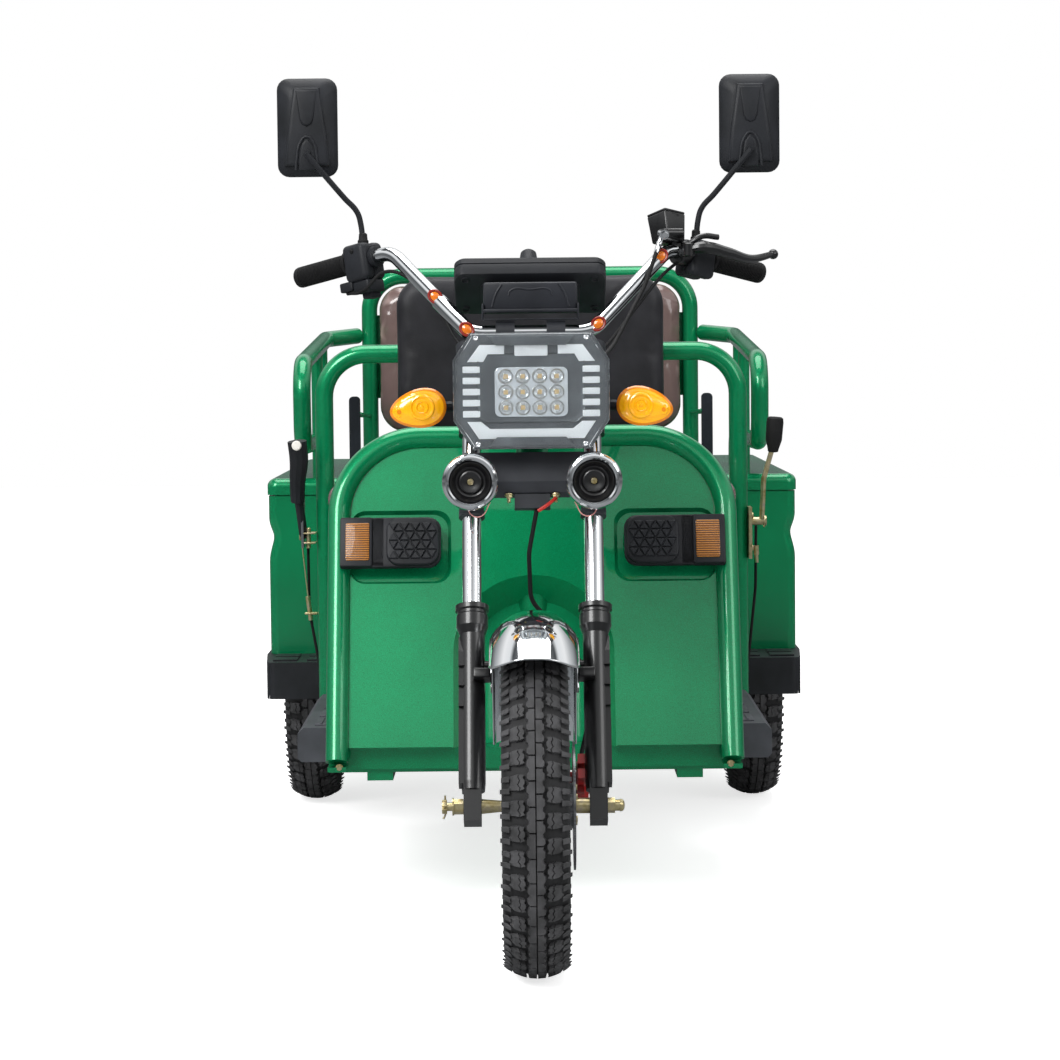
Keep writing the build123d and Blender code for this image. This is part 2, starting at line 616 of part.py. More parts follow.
def outriggers():
    """Cross members that carry the driver's hoop and the shield hoop's feet."""
    z = (FLOOR_Z - 40, FLOOR_Z - 6)
    half = BACK_HOOP_X + TUBE_D / 2
    carriers = block((-half, half), (BACK_HOOP_Y - 22, BACK_HOOP_Y + 22), z)
    return carriers + block((-HOOP_X - 15, HOOP_X + 15), (FLOOR_FRONT_Y + 8, FLOOR_FRONT_Y + 38), z)


def main_frame():
    """Welded chassis: head tube, neck tube, side members and cross members."""
    frame = both_sides(frame_rail())
    chassis = frame[0] + frame[1] + outriggers()
    for y in (NECK_FOOT_Y, (NECK_FOOT_Y + BACK_HOOP_Y) / 2 - 60, BACK_HOOP_Y - 70):
        chassis += cross_member(y, RAIL_X, (RAIL_LOW_Z[0] + 5, RAIL_LOW_Z[1] - 5))
    for y in (KICK_Y[1] + 30, REAR_AXLE_Y + 515):
        chassis += cross_member(y, RAIL_X, (RAIL_HIGH_Z[0] + 4, RAIL_HIGH_Z[1] - 6))
    neck_start = steer_point(0, FORK_OFFSET + 12, 612)
    knee = (0, NECK_FOOT_Y + 50, AXLE_Z + 466)
    chassis += tube([neck_start, knee, (0, NECK_FOOT_Y, AXLE_Z)], 80, NECK_D)
    for side in (-1, 1):
        foot = (side * HOOP_X - 14, side * HOOP_X + 14)
        run = (HOOP_FOOT[0] - 10, FLOOR_FRONT_Y + 36)
        chassis += block(foot, run, (HOOP_FOOT[1] - 14, HOOP_FOOT[1] - 7))
    chassis += block((-30, 30), (TOW_Y - 29, TOW_Y + 38), TOW_Z)
    chassis -= rod((0, TOW_Y, TOW_Z[0] - 1), (0, TOW_Y, TOW_Z[1] + 1), TOW_D)
    for side in (-1, 1):
        for x in ((196, 212), (245, 261)):
            chassis += gate_knuckle((side * x[0], side * x[1]), (REAR_AXLE_Y + 525, GATE_PIN_Y))
        chassis += cross_rod((side * 200, side * 256), GATE_PIN_Y, GATE_PIN_Z, GATE_PIN_D)
    bore = Pos(0, FORK_OFFSET, LOWER_CLAMP[0] - 90) * extrude(Circle(HEAD_TUBE_D / 2 - 2), 400)
    chassis = chassis - STEER * bore + head_tube()
    y, z = (REAR_AXLE_Y + 525, REAR_END_Y - BUMPER_D / 2), RAIL_HIGH_Z[0] + 24
    corners = [(-RAIL_X, y[0], z), (-RAIL_X, y[1], z), (RAIL_X, y[1], z), (RAIL_X, y[0], z)]
    return chassis + tube(corners, 40, BUMPER_D)


def floor_pan():
    """Pressed floor with turned-down edges and an upright step to the deck."""
    half, y, z = FLOOR_HALF_W, (FLOOR_FRONT_Y, STEP_FLOOR_Y), (FLOOR_Z - SHEET, FLOOR_Z)
    pan = block((-half, half), y, z)
    pan += block((-half, half), (y[0], y[0] + SHEET), (FLOOR_Z - FLOOR_LIP, FLOOR_Z))
    pan += block((-half, half), (y[1] - SHEET, y[1]), (z[0], DECK_Z))
    for side in (-1, 1):
        pan += block((side * half, side * (half - SHEET)), y, (FLOOR_Z - FLOOR_LIP + 6, FLOOR_Z))
    gap = (FLOOR_Z - 41, FLOOR_Z - 5.7)
    pan -= block((-BACK_HOOP_X, BACK_HOOP_X), (BACK_HOOP_Y - 22.5, BACK_HOOP_Y + 22.5), gap)
    return pan - block((-half - 5, half + 5), (FLOOR_FRONT_Y + 7.5, FLOOR_FRONT_Y + 38.5), gap)


def footrest():
    """Moulded step pad hooked over the floor's edge, hollow below."""
    edge, out = FLOOR_HALF_W, BACK_HOOP_X + 17
    y = (FLOOR_FRONT_Y + 143, BACK_HOOP_Y - 26)
    top = FLOOR_Z + 13
    outline = [(edge + SEAT_GAP, FLOOR_Z - 42), (out - 6, FLOOR_Z - 42), (out, FLOOR_Z - 36),
               (out, top - 10), (out - 10, top), (edge - 22, top), (edge - 22, FLOOR_Z + SEAT_GAP),
               (edge + SEAT_GAP, FLOOR_Z + SEAT_GAP)]
    face = make_face(Polyline(*[(x, y[0], z) for x, z in outline], close=True))
    pad = extrude(face, y[1] - y[0], dir=(0, 1, 0))
    return pad - block((edge + 5, out - 5), (y[0] + 5, y[1] - 5), (FLOOR_Z - 43, top - 6))


def shield_plane():
    """Plane of the shield hoop, X across, Y up the shield."""
    up = Vector(0, HOOP_TOP[0] - HOOP_FOOT[0], HOOP_TOP[1] - HOOP_FOOT[1])
    return Plane(origin=(0, HOOP_FOOT[0], HOOP_FOOT[1]), x_dir=(1, 0, 0), z_dir=Vector(1, 0, 0).cross(up))


def shield_hoop():
    """Bent tube round the leg shield."""
    foot, top = HOOP_FOOT, HOOP_TOP
    return tube([(-HOOP_X, *foot), (-HOOP_X, *top), (HOOP_X, *top), (HOOP_X, *foot)], HOOP_BEND, HOOP_D)


def arch_sketch(inset, plane):
    """Wheel arch outline in the shield's plane."""
    half, top = ARCH_HALF - inset, ARCH_TOP - inset
    low = SHIELD_FOOT - 1
    with BuildSketch(plane) as arch:
        with BuildLine():
            Polyline((-half, low), (-half, top - half))
            ThreePointArc((-half, top - half), (0, top), (half, top - half))
            Polyline((half, top - half), (half, low), (-half, low))
        make_face()
    return arch.sketch


def pad_sketch(grow, plane):
    """Outline of the dish round one foot pad."""
    half = HOOP_X - HOOP_D / 2 - SEAT_GAP
    inner = HOOP_X - PAD_W - 21 - grow
    place = Pos((half + inner) / 2, PAD_UP)
    return plane * place * RectangleRounded(half - inner, PAD_H + 44 + 2 * grow, 24)


def leg_shield():
    """Pressed front panel inside the hoop, dished in the middle for the wheel and round the pads."""
    plane = shield_plane()
    t = SHIELD_T
    half = HOOP_X - HOOP_D / 2 - SEAT_GAP
    height = hypot(HOOP_TOP[0] - HOOP_FOOT[0], HOOP_TOP[1] - HOOP_FOOT[1]) - HOOP_D / 2 - SEAT_GAP
    bend = HOOP_BEND - HOOP_D / 2 - SEAT_GAP
    with BuildSketch(plane) as outline:
        with BuildLine():
            Line((-half, SHIELD_FOOT), (-half, height - bend))
            RadiusArc((-half, height - bend), (-half + bend, height), bend)
            Line((-half + bend, height), (half - bend, height))
            RadiusArc((half - bend, height), (half, height - bend), bend)
            Polyline((half, height - bend), (half, SHIELD_FOOT), (-half, SHIELD_FOOT))
        make_face()
    panel = extrude(outline.sketch, -t)
    outer = loft([arch_sketch(0, plane), arch_sketch(ARCH_SLOPE, plane.offset(-ARCH_DEPTH))])
    inner = loft([arch_sketch(t, plane), arch_sketch(ARCH_SLOPE + t, plane.offset(-ARCH_DEPTH + t))])
    panel = panel + outer - inner
    for sign in (1, -1):
        dish = loft([pad_sketch(0, plane), pad_sketch(-5, plane.offset(-PAD_DISH - t))])
        hollow = loft([pad_sketch(-t, plane), pad_sketch(-5 - t, plane.offset(-PAD_DISH))])
        if sign < 0:
            dish, hollow = mirror(dish, about=Plane.YZ), mirror(hollow, about=Plane.YZ)
        panel = panel + dish - hollow
    return panel - block((-HOOP_X, HOOP_X), (HOOP_FOOT[0] - 160, HOOP_TOP[0] + 90), (0, FLOOR_Z + SEAT_GAP))


def shield_pad():
    """Moulded pad in front of the shield's side tube, with its raised inner half."""
    plane = shield_plane().offset(HOOP_D / 2 + SEAT_GAP)
    mid = HOOP_X - PAD_W / 2 - 3
    pad = extrude(plane * Pos(mid, PAD_UP) * RectangleRounded(PAD_W, PAD_H, 12), 8)
    raised = plane * Pos(mid - PAD_W * 0.22, PAD_UP) * RectangleRounded(PAD_W * 0.52, PAD_H - 4, 12)
    inner = extrude(raised, 14)
    foot = plane * Pos(mid - 34, PAD_UP) * RectangleRounded(PAD_W * 0.4, PAD_H - 24, 8)
    leg = extrude(foot, -HOOP_D / 2 - PAD_DISH)
    return pad + inner + leg


# ------------------------------------------------------------------ driver's place
def sheet_box(x, y, z):
    """Closed box of thin sheet."""
    hollow = [(side[0] + SKIN, side[1] - SKIN) for side in (x, y, z)]
    return block(x, y, z) - block(*hollow)


def cushion(x, y, z, edge):
    """Plain upholstered block."""
    return fillet(block(x, y, z).edges(), edge)


def driver_hoop():
    """Upright hoop behind the driver with the backrest plate."""
    x, y, z, foot = BACK_HOOP_X, BACK_HOOP_Y, BACK_HOOP_Z, FLOOR_Z - 6
    hoop = tube([(-x, y, foot), (-x, y, z), (x, y, z), (x, y, foot)], 75, TUBE_D)
    plate_y = (y - TUBE_D / 2 - 4, y - TUBE_D / 2 + 4)
    return hoop + block((-150, 150), plate_y, (z - 83, z + 97))


def driver_backrest():
    """Rounded backrest pad in front of the hoop's plate."""
    w, h, t = BACK_PAD
    front = BACK_HOOP_Y - TUBE_D / 2 - 4 - SEAT_GAP
    face = Plane(origin=(0, front, BACK_HOOP_Z + 1), x_dir=(1, 0, 0), z_dir=(0, -1, 0))
    pad = extrude(face * RectangleRounded(w, h, 46), t)
    return chamfer(pad.faces().sort_by(Axis.Y)[0].edges(), 10)


# ------------------------------------------------------------------ rear body
def cargo_deck():
    """Rear floor sheet, with a raised panel where the load lies."""
    edge, rear = BOX_IN - SEAT_GAP, GATE_Y[0] - 4
    deck = block((-edge, edge), (STEP_FLOOR_Y + SEAT_GAP, rear), (DECK_Z - SHEET, DECK_Z))
    panel = block((15 - BOX_IN, BOX_IN - 15), (REAR_HOOP_Y + 30, rear - 7), (DECK_Z, DECK_Z + DECK_RIB))
    return deck + panel


def swaged_body(inset):
    """Solid of the side box drawn in by inset, its outer wall pressed in along a wave."""
    x, y = (BOX_IN + inset, BOX_OUT - inset), (BOX_Y[0] + inset, BOX_Y[1] - inset)
    low, top = BOX_Z[0] - inset, BOX_Z[1] - inset
    crest, dip, foot = [BOX_Z[1] - drop for drop in SWAGE]
    with BuildSketch(Plane.XZ.offset(-y[0])) as section:
        with BuildLine():
            Polyline((x[1], foot), (x[1], low), (x[0], low), (x[0], top), (x[1], top), (x[1], crest))
            Spline((x[1], crest), (x[1] - SWAGE_DEPTH, dip), (x[1], foot), tangents=((0, -1), (0, -1)))
        make_face()
    body = extrude(section.sketch, amount=y[0] - y[1])
    corners = body.edges().filter_by(lambda edge: edge.center().X > x[1] - SWAGE_DEPTH / 2)
    return fillet(corners.filter_by(Axis.Y, reverse=True), BOX_CORNER - inset)


def side_box():
    """Hollow side box over the rear wheel: outer, inner, front and rear walls, open below."""
    shell = swaged_body(0) - swaged_body(SKIN)
    return shell - cross_rod((BOX_OUT - 20, BOX_OUT + 10), REAR_AXLE_Y, AXLE_Z, 2 * ARCH_R)


def box_cap():
    """Lid on the side box, rounded over its outer edge, on a narrower neck."""
    z = BOX_Z[1] + 2
    cap = block((BOX_IN - 4, BOX_OUT + 2), (BOX_Y[0] - 4, BOX_Y[1] + 4), (z, z + CAP_T))
    cap = fillet(cap.edges().filter_by(Axis.Z).group_by(Axis.X)[-1], BOX_CORNER + 2)
    top = cap.edges().group_by(Axis.Z)[-1]
    cap = fillet(top.filter_by(lambda edge: edge.center().X > BOX_IN), CAP_T * 0.5)
    neck = block((BOX_IN + 4, BOX_OUT - 12), (BOX_Y[0] + 12, BOX_Y[1] - 12), (BOX_Z[1], z + 2))
    return cap + neck


def arch_trim():
    """Black moulded step ahead of and behind the wheel, open below, joined by the arch lip."""
    t, front, out = STEP_WALL, BOX_OUT - STEP_IN, BOX_OUT + LIP_OUT
    y, z = (BOX_Y[0] - STEP_AHEAD, BOX_Y[1] + 4), (BOX_Z[0] - SEAT_GAP - STEP_H, BOX_Z[0] - SEAT_GAP)
    lip = cross_rod((BOX_OUT + SEAT_GAP, out), REAR_AXLE_Y, AXLE_Z, 2 * ARCH_R + 44)
    lip -= block((BOX_OUT - 40, out + 10), (y[0], y[1] + 100), (-ARCH_R, z[1] - 1))
    corners = [(BOX_IN, y[0]), (front, y[0]), (out, BOX_Y[0]), (out, y[1]), (BOX_IN, y[1])]
    plan = Pos(0, 0, z[0]) * make_face(Polyline(*corners, close=True))
    steps = extrude(plan, STEP_H)
    steps = fillet(steps.edges().filter_by(Axis.Z).sort_by(Axis.Y)[:2].sort_by(Axis.X)[-1], BOX_CORNER)
    inside = Pos(0, 0, -t) * extrude(offset(plan, -t), STEP_H)
    steps -= inside - cross_rod((BOX_IN, out), REAR_AXLE_Y, AXLE_Z, 2 * (ARCH_R + t))
    pad = (front - BOX_IN) / 2
    for middle in (BOX_IN + pad * 0.5, BOX_IN + pad * 1.5):
        for foot in (y[0] + 22, BOX_Y[0] - 68):
            rib = (middle - pad * 0.35, middle + pad * 0.35)
            steps += block(rib, (foot, foot + 46), (z[1] - 1, z[1] + STEP_RIB))
    return lip + steps - cross_rod((BOX_IN - 5, out + 5), REAR_AXLE_Y, AXLE_Z, 2 * ARCH_R)


def side_rail():
    """Guard loop over the side box, swept back to the passenger hoop, on two posts."""
    x, y, cap = RAIL_LOOP_X, REAR_AXLE_Y, BOX_Z[1] + 2 + CAP_T
    front, turn = Vector(x, y - 479, cap + 208), Vector(x, y + 185, cap + 255)
    joint = front + (turn - front) * 0.9
    loop = tube([(x, y + 141, cap), (x, y + 141, cap + 56), (x, y - 469, cap + 62), front, joint],
                [30, 45, 60], TUBE_D)
    loop += tube([joint, turn, (REAR_HOOP_X + TUBE_D / 2 + 10, REAR_HOOP_Y - 5, cap + 262)], 40, TUBE_D)
    for back, rise in ((-80, 236), (65, 247)):
        loop += rod((x, y + back, cap), (x, y + back, cap + rise), POST_D)
    return loop


def passenger_hoop():
    """Tall hoop that carries the passenger backrest."""
    x, y, z = REAR_HOOP_X, REAR_HOOP_Y, REAR_HOOP_Z
    hoop = tube([(-x, y, DECK_Z), (-x, y, z), (x, y, z), (x, y, DECK_Z)], 70, TUBE_D)
    return hoop + block((-x, x), (y + 10 + SEAT_GAP, y + 14), (z - 249, z - 79))


def passenger_pad():
    """Backrest pad between the hoop's legs, its corners following the hoop's bends."""
    middle = REAR_HOOP_Z - TUBE_D / 2 - 5 - REAR_PAD_H / 2
    face = Plane(origin=(0, REAR_HOOP_Y + 10, middle), x_dir=(1, 0, 0), z_dir=(0, -1, 0))
    pad = extrude(face * RectangleRounded(2 * REAR_HOOP_X - TUBE_D - 10, REAR_PAD_H, 58), 52)
    return chamfer(pad.faces().sort_by(Axis.Y)[0].edges(), 12)


def seat_stay():
    """Upright blade beside the passenger bench, rounded over the top."""
    edge, y, z = BOX_IN - 4 - SEAT_GAP, REAR_AXLE_Y - 80, (DECK_Z + 210, DECK_Z + 440)
    blade = block((edge - STAY_W, edge), (y - 10, y + 10), z)
    return fillet(blade.edges().group_by(Axis.Z)[-1].filter_by(Axis.Y), 8)


def tail_lamp():
    """Lamp unit on the rear face of the side box."""
    mid = (BOX_IN + BOX_OUT) / 2
    rear = (BOX_Y[1] + SEAT_GAP, BOX_Y[1] + 26)
    lamp = block((mid - 35, mid + 45), rear, (BOX_Z[0] + 147, BOX_Z[0] + 237))
    return chamfer(lamp.edges().group_by(Axis.Y)[-1], 6)


def tailgate():
    """Drop-down rear panel on two bottom hinges."""
    half, z = BOX_IN - 6, (DECK_Z + 10, BOX_Z[1] + 12)
    gate = block((-half, half), GATE_Y, z)
    gate -= block((-half + 24, half - 24), (GATE_Y[1] - 6, GATE_Y[1] + 1), (z[0] + 25, z[1] - 25))
    for side in (-1, 1):
        x = (side * 213, side * 244)
        gate += cross_rod(x, GATE_PIN_Y, GATE_PIN_Z, GATE_PIN_D + 6)
        gate += block(x, (GATE_Y[0] + 4, GATE_PIN_Y), (GATE_PIN_Z + 3, GATE_PIN_Z + 12))
        gate -= cross_rod(x, GATE_PIN_Y, GATE_PIN_Z, GATE_PIN_D + 2 * FIT)
    return gate


# ------------------------------------------------------------------ running gear
def rear_axle():
    """Axle tube with the reduction case, motor and half shafts."""
    y, z = REAR_AXLE_Y, AXLE_Z
    end = TRACK / 2 - 97
    axle = cross_rod((-end, end), y, z, AXLE_TUBE_D) + cross_rod((-95, 75), y, z, GEARCASE_D)
    axle += cross_rod((-60, 120), y - 120, z + 10, MOTOR_D)
    for side in (-1, 1):
        axle += cross_rod((side * end, side * (TRACK / 2 + 34)), y, z, HALF_SHAFT_D)
        axle += cross_rod((side * (end - 12), side * (end + 16)), y, z, BACKPLATE_D)
    return axle


def leaf_spring():
    """Leaf pack on the axle, hung from the side member."""
    y, low, top = REAR_AXLE_Y, AXLE_Z + AXLE_TUBE_D / 2 + 2, RAIL_HIGH_Z[0]
    x = (RAIL_X - 25, RAIL_X + 25)
    pack = block(x, (y - LEAF_HALF, y + LEAF_HALF), (low, low + 12))
    pack += block((x[0] + 5, x[1] - 5), (y - 30, y + 30), (low - 4, low + 18))
    for end in (-1, 1):
        pack += block(x, (y + end * (LEAF_HALF - 20), y + end * LEAF_HALF), (low, top))
    return pack - cross_rod((x[0] - 10, x[1] + 10), y, AXLE_Z, AXLE_TUBE_D + 2 * SEAT_GAP)


def handbrake():
    """Hand lever with its toothed sector on one leg of the driver's hoop."""
    x, y, z = BACK_HOOP_X + TUBE_D / 2, BACK_HOOP_Y, FLOOR_Z + 267
    lever = rod((x + 22, y - 10, z + 20), (x + 30, y - 40, z + 105), 14)
    lever += rod((x + 30, y - 40, z + 105), (x + 34, y - 58, z + 193), 22)
    sector = [(y - 30, z + 2), (y + 10, z + 2), (y + 14, z + 80), (y - 36, z + 88)]
    lever += prism_x((x + 18, x + 22), sector)
    return lever + block((x + SEAT_GAP, x + 26), (y - 30, y + 16), (z, z + 35))


def gear_lever():
    """Shift lever on the other leg of the driver's hoop."""
    x, y, z = BACK_HOOP_X + TUBE_D / 2, BACK_HOOP_Y, FLOOR_Z + 242
    lever = block((x + SEAT_GAP, x + 6), (y - 25, y + 20), (z, z + 90))
    lever += rod((x + 4, y - 5, z + 65), (x + 28, y - 5, z + 65), 14)
    lever += tube([(x + 24, y - 5, z + 60), (x + 26, y - 30, z + 140), (x + 44, y - 40, z + 205)], 30, 9)
    knob = Plane(origin=(x + 42, y - 39, z + 192), z_dir=(4, -3, 55))
    return lever + loft([knob * Circle(8), knob.offset(16) * Circle(12), knob.offset(54) * Circle(11)])


def control_cable(x, y, z):
    """Cable from a lever down the driver's hoop to the outrigger."""
    low = (BACK_HOOP_X + 18, BACK_HOOP_Y + 19.5, FLOOR_Z + 70)
    foot = (BACK_HOOP_X + 10, BACK_HOOP_Y + 19.5, FLOOR_Z - 6 + SEAT_GAP)
    return tube([(x, y, z), (x, BACK_HOOP_Y + 14, z - 110), low, foot], 120, CABLE_D)


# ------------------------------------------------------------------ write the nodes
save("front_tyre", tyre(0, FRONT_AXLE_Y))
save("front_rim", front_rim())
save("brake_disc", brake_disc())
for side, name in ((1, "left"), (-1, "right")):
    save(f"rear_tyre_{name}", tyre(side * TRACK / 2, REAR_AXLE_Y))
    save(f"rear_rim_{name}", rear_rim(side))

sliders = both_sides(fork_slider())
stem = steering_stem()
caliper = brake_caliper()
housing = headlight_housing()
signals = both_sides(turn_signal())
bracket = lamp_bracket() - housing - signals[0] - signals[1]
save("fork_sliders", *sliders)
save("stanchions", *both_sides(stanchion()))
save("steering_stem", stem)
save("front_axle", front_axle())
save("front_fender", front_fender() - sliders[0] - sliders[1])
save("brake_caliper", caliper)
save("headlight_housing", housing)
save("headlight_cover", headlight_cover())
save("lamp_bracket", bracket)
save("horns", *[piece - stem for piece in both_sides(horn())])
save("turn_signals", *signals)

bar = handlebar()
boxes = both_sides(switch_housing())
heads = both_sides(mirror_head())
stems = both_sides(mirror_stem())
lever = brake_lever() - bar - boxes[0]
save("handlebar", bar)
save("grips", *both_sides(grip()))
save("switch_housings", *[piece - bar for piece in boxes])
save("brake_lever", lever)
save("brake_hose", *[hose - lever - housing - bracket - stem - caliper for hose in brake_hose()])
save("mirror_stems", *[piece - heads[i] - boxes[i] for i, piece in enumerate(stems)])
save("mirror_heads", *heads)
save("dash_pod", dash_pod() - bar)

chassis = main_frame()
save("main_frame", chassis)
save("floor_pan", floor_pan() - chassis)
save("footrests", *both_sides(footrest()))
save("shield_hoop", shield_hoop())
save("leg_shield", leg_shield() - chassis)
save("shield_pads", *both_sides(shield_pad()))
bench_base_y = (BENCH_Y[0] + 20, BENCH_Y[1] - 2)
bench_base_z = (FLOOR_Z, SEAT_TOP - CUSHION_T)
save("seat_base", sheet_box((-SEAT_BASE_HALF, SEAT_BASE_HALF), bench_base_y, bench_base_z))
battery_z = (FLOOR_Z + SKIN, FLOOR_Z + SKIN + BATTERY_H)
save("battery", block((-BATTERY_HALF, BATTERY_HALF), (BENCH_Y[0] + 55, BENCH_Y[1] - 35), battery_z))
bench_z = (SEAT_TOP - CUSHION_T + SEAT_GAP, SEAT_TOP)
save("driver_cushion", cushion((-BENCH_HALF_W, BENCH_HALF_W), BENCH_Y, bench_z, 22))
save("driver_hoop", driver_hoop())
save("driver_backrest", driver_backrest())

base_z = (DECK_Z, DECK_Z + 208)
base_y = (REAR_AXLE_Y - 50, REAR_HOOP_Y - 30)
save("cargo_deck", cargo_deck())
save("side_boxes", *both_sides(side_box()))
save("box_caps", *both_sides(box_cap()))
save("arch_trims", *both_sides(arch_trim()))
save("side_rails", *both_sides(side_rail()))
save("passenger_hoop", passenger_hoop())
save("passenger_base", sheet_box((35 - BOX_IN, BOX_IN - 35), base_y, base_z))
seat_z = (base_z[1] + SEAT_GAP, base_z[1] + 82)
save("passenger_cushion", cushion((21 - BOX_IN, BOX_IN - 21), (base_y[0] - 10, base_y[1] + 7), seat_z, 22))
save("passenger_pad", passenger_pad())
save("seat_stays", *both_sides(seat_stay()))
save("tail_lamps", *both_sides(tail_lamp()))
save("tailgate", tailgate())
save("rear_axle", rear_axle())
save("leaf_springs", *both_sides(leaf_spring()))
save("handbrake", mirror(handbrake(), about=Plane.YZ))
save("gear_lever", gear_lever())
lever_x = BACK_HOOP_X + TUBE_D / 2
hand_cable = control_cable(lever_x + 16, BACK_HOOP_Y + 6, FLOOR_Z + 266.3)
shift_cable = control_cable(lever_x + 14, BACK_HOOP_Y - 5, FLOOR_Z + 299.2)
save("control_cables", mirror(hand_cable, about=Plane.YZ), shift_cable)
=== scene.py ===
"""Electric cargo tricycle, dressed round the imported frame: metres, +Z up, -Y forward."""
import json
import math

import bmesh
import bpy
from mathutils import Matrix, Vector, noise


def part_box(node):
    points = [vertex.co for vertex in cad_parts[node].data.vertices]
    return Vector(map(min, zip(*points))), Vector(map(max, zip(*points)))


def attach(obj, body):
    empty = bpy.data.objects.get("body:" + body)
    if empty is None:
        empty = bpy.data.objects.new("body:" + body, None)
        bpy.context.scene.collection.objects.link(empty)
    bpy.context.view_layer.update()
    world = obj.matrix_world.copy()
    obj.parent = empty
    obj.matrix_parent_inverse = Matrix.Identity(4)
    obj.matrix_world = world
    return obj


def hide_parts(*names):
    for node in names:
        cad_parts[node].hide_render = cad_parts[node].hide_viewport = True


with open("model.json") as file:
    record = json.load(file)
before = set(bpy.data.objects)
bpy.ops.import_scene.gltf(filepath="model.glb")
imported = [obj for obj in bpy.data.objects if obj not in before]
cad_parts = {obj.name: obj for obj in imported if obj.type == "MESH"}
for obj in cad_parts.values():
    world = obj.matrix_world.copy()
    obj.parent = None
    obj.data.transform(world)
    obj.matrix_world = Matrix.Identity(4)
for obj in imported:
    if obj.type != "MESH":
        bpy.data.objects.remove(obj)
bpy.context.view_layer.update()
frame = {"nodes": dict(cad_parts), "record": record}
scene = bpy.context.scene
scene.view_settings.view_transform = "Standard"

# ---------------------------------------------------------------- camera
# A long lens in front of the front wheel at about waist height, tipped a little down
# and not quite level.
EYE = (-0.004, -5.215, 0.886)
TIP_DOWN = 3.53
ROLL = -0.6
LENS_MM = 101.9
camera = bpy.data.objects.new("camera", bpy.data.cameras.new("camera"))
camera.data.lens = LENS_MM
camera.data.sensor_width = 36.0
scene.collection.objects.link(camera)
turn = Matrix.Rotation(math.radians(90 - TIP_DOWN), 4, "X") @ Matrix.Rotation(math.radians(ROLL), 4, "Z")
camera.matrix_world = Matrix.Translation(EYE) @ turn
scene.camera = camera

# ---------------------------------------------------------------- studio
# A white paper floor that keeps the shadow, a white surround, and three large soft lamps.
# Metal and gloss paint also see a greyer band low in the surround, which gives them shape.
FLOOR_HALF = 14.0
FLOOR_GLOW = 0.72
SURROUND_LIGHT = 0.50


def link(bm, name):
    """New object at the origin from a bmesh, linked to the scene."""
    mesh = bpy.data.meshes.new(name)
    bm.to_mesh(mesh)
    bm.free()
    made = bpy.data.objects.new(name, mesh)
    scene.collection.objects.link(made)
    return made


def linear(code):
    """sRGB hex to linear RGBA."""
    parts = [int(code[i:i + 2], 16) / 255 for i in (1, 3, 5)]
    return [c / 12.92 if c <= 0.04045 else ((c + 0.055) / 1.055) ** 2.4 for c in parts] + [1.0]


def add(tree, kind, links=(), inputs=(), **settings):
    """Adds a shader node with its settings, its input values and its links."""
    made = tree.nodes.new(kind)
    for key, value in settings.items():
        setattr(made, key, value)
    for key, value in dict(inputs).items():
        made.inputs[key].default_value = value
    for key, (source, socket) in dict(links).items():
        tree.links.new(source.outputs[socket], made.inputs[key])
    return made


def material(name, **values):
    """Node material with values set straight on its Principled shader."""
    made = bpy.data.materials.new(name)
    made.use_nodes = True
    shader = made.node_tree.nodes["Principled BSDF"]
    for key, value in values.items():
        shader.inputs[key.replace("_", " ")].default_value = value
    return made, made.node_tree, shader


def ramp(tree, source, stops):
    """Colour ramp fed by a factor, from (position, hex) stops."""
    made = add(tree, "ShaderNodeValToRGB", {"Fac": source})
    while len(made.color_ramp.elements) < len(stops):
        made.color_ramp.elements.new(0.5)
    for element, (place, code) in zip(made.color_ramp.elements, stops):
        element.position, element.color = place, linear(code)
    return made


bm = bmesh.new()
bmesh.ops.create_grid(bm, x_segments=1, y_segments=1, size=FLOOR_HALF)
floor = link(bm, "studio_floor")
paper, tree, shader = material("seamless_paper", Base_Color=linear("#f8f8f8"), Roughness=0.95)
shader.inputs["Specular IOR Level"].default_value = 0.1
shader.inputs["Emission Color"].default_value = linear("#ffffff")
seen = add(tree, "ShaderNodeLightPath")
direct = add(tree, "ShaderNodeMath", {0: (seen, "Is Camera Ray"), 1: (seen, "Is Transmission Ray")},
             operation="MAXIMUM")
lift = add(tree, "ShaderNodeMath", {0: (direct, 0)}, {1: FLOOR_GLOW}, operation="MULTIPLY")
tree.links.new(lift.outputs[0], shader.inputs["Emission Strength"])
ground = add(tree, "ShaderNodeMix", {0: (seen, "Is Glossy Ray")},
             {6: linear("#f8f8f8"), 7: linear("#7c7e80")}, data_type="RGBA")
tree.links.new(ground.outputs[2], shader.inputs["Base Color"])
floor.data.materials.append(paper)

world = bpy.data.worlds.new("studio_surround")
scene.world = world
world.use_nodes = True
tree = world.node_tree
way = add(tree, "ShaderNodeTexCoord")
split = add(tree, "ShaderNodeSeparateXYZ", {"Vector": (way, "Generated")})
band = ramp(tree, (split, "Z"), [(0.0, "#77797b"), (0.12, "#3b3e40"), (0.30, "#b4b7b9"), (0.48, "#ffffff"),
                                 (0.67, "#f2f4f5"), (0.755, "#4c4f51"), (1.0, "#8d8f91")])
seen = add(tree, "ShaderNodeLightPath")
soft = add(tree, "ShaderNodeBackground", {"Color": (band, "Color")}, {"Strength": 1.0})
even = add(tree, "ShaderNodeBackground", (), {"Color": linear("#ffffff"), "Strength": SURROUND_LIGHT})
plain = add(tree, "ShaderNodeBackground", (), {"Color": linear("#ffffff"), "Strength": 1.0})
gloss = add(tree, "ShaderNodeMixShader", {0: (seen, "Is Glossy Ray"), 1: (even, 0), 2: (soft, 0)})
clear = add(tree, "ShaderNodeMath", {0: (seen, "Is Camera Ray"), 1: (seen, "Is Transmission Ray")},
            operation="MAXIMUM")
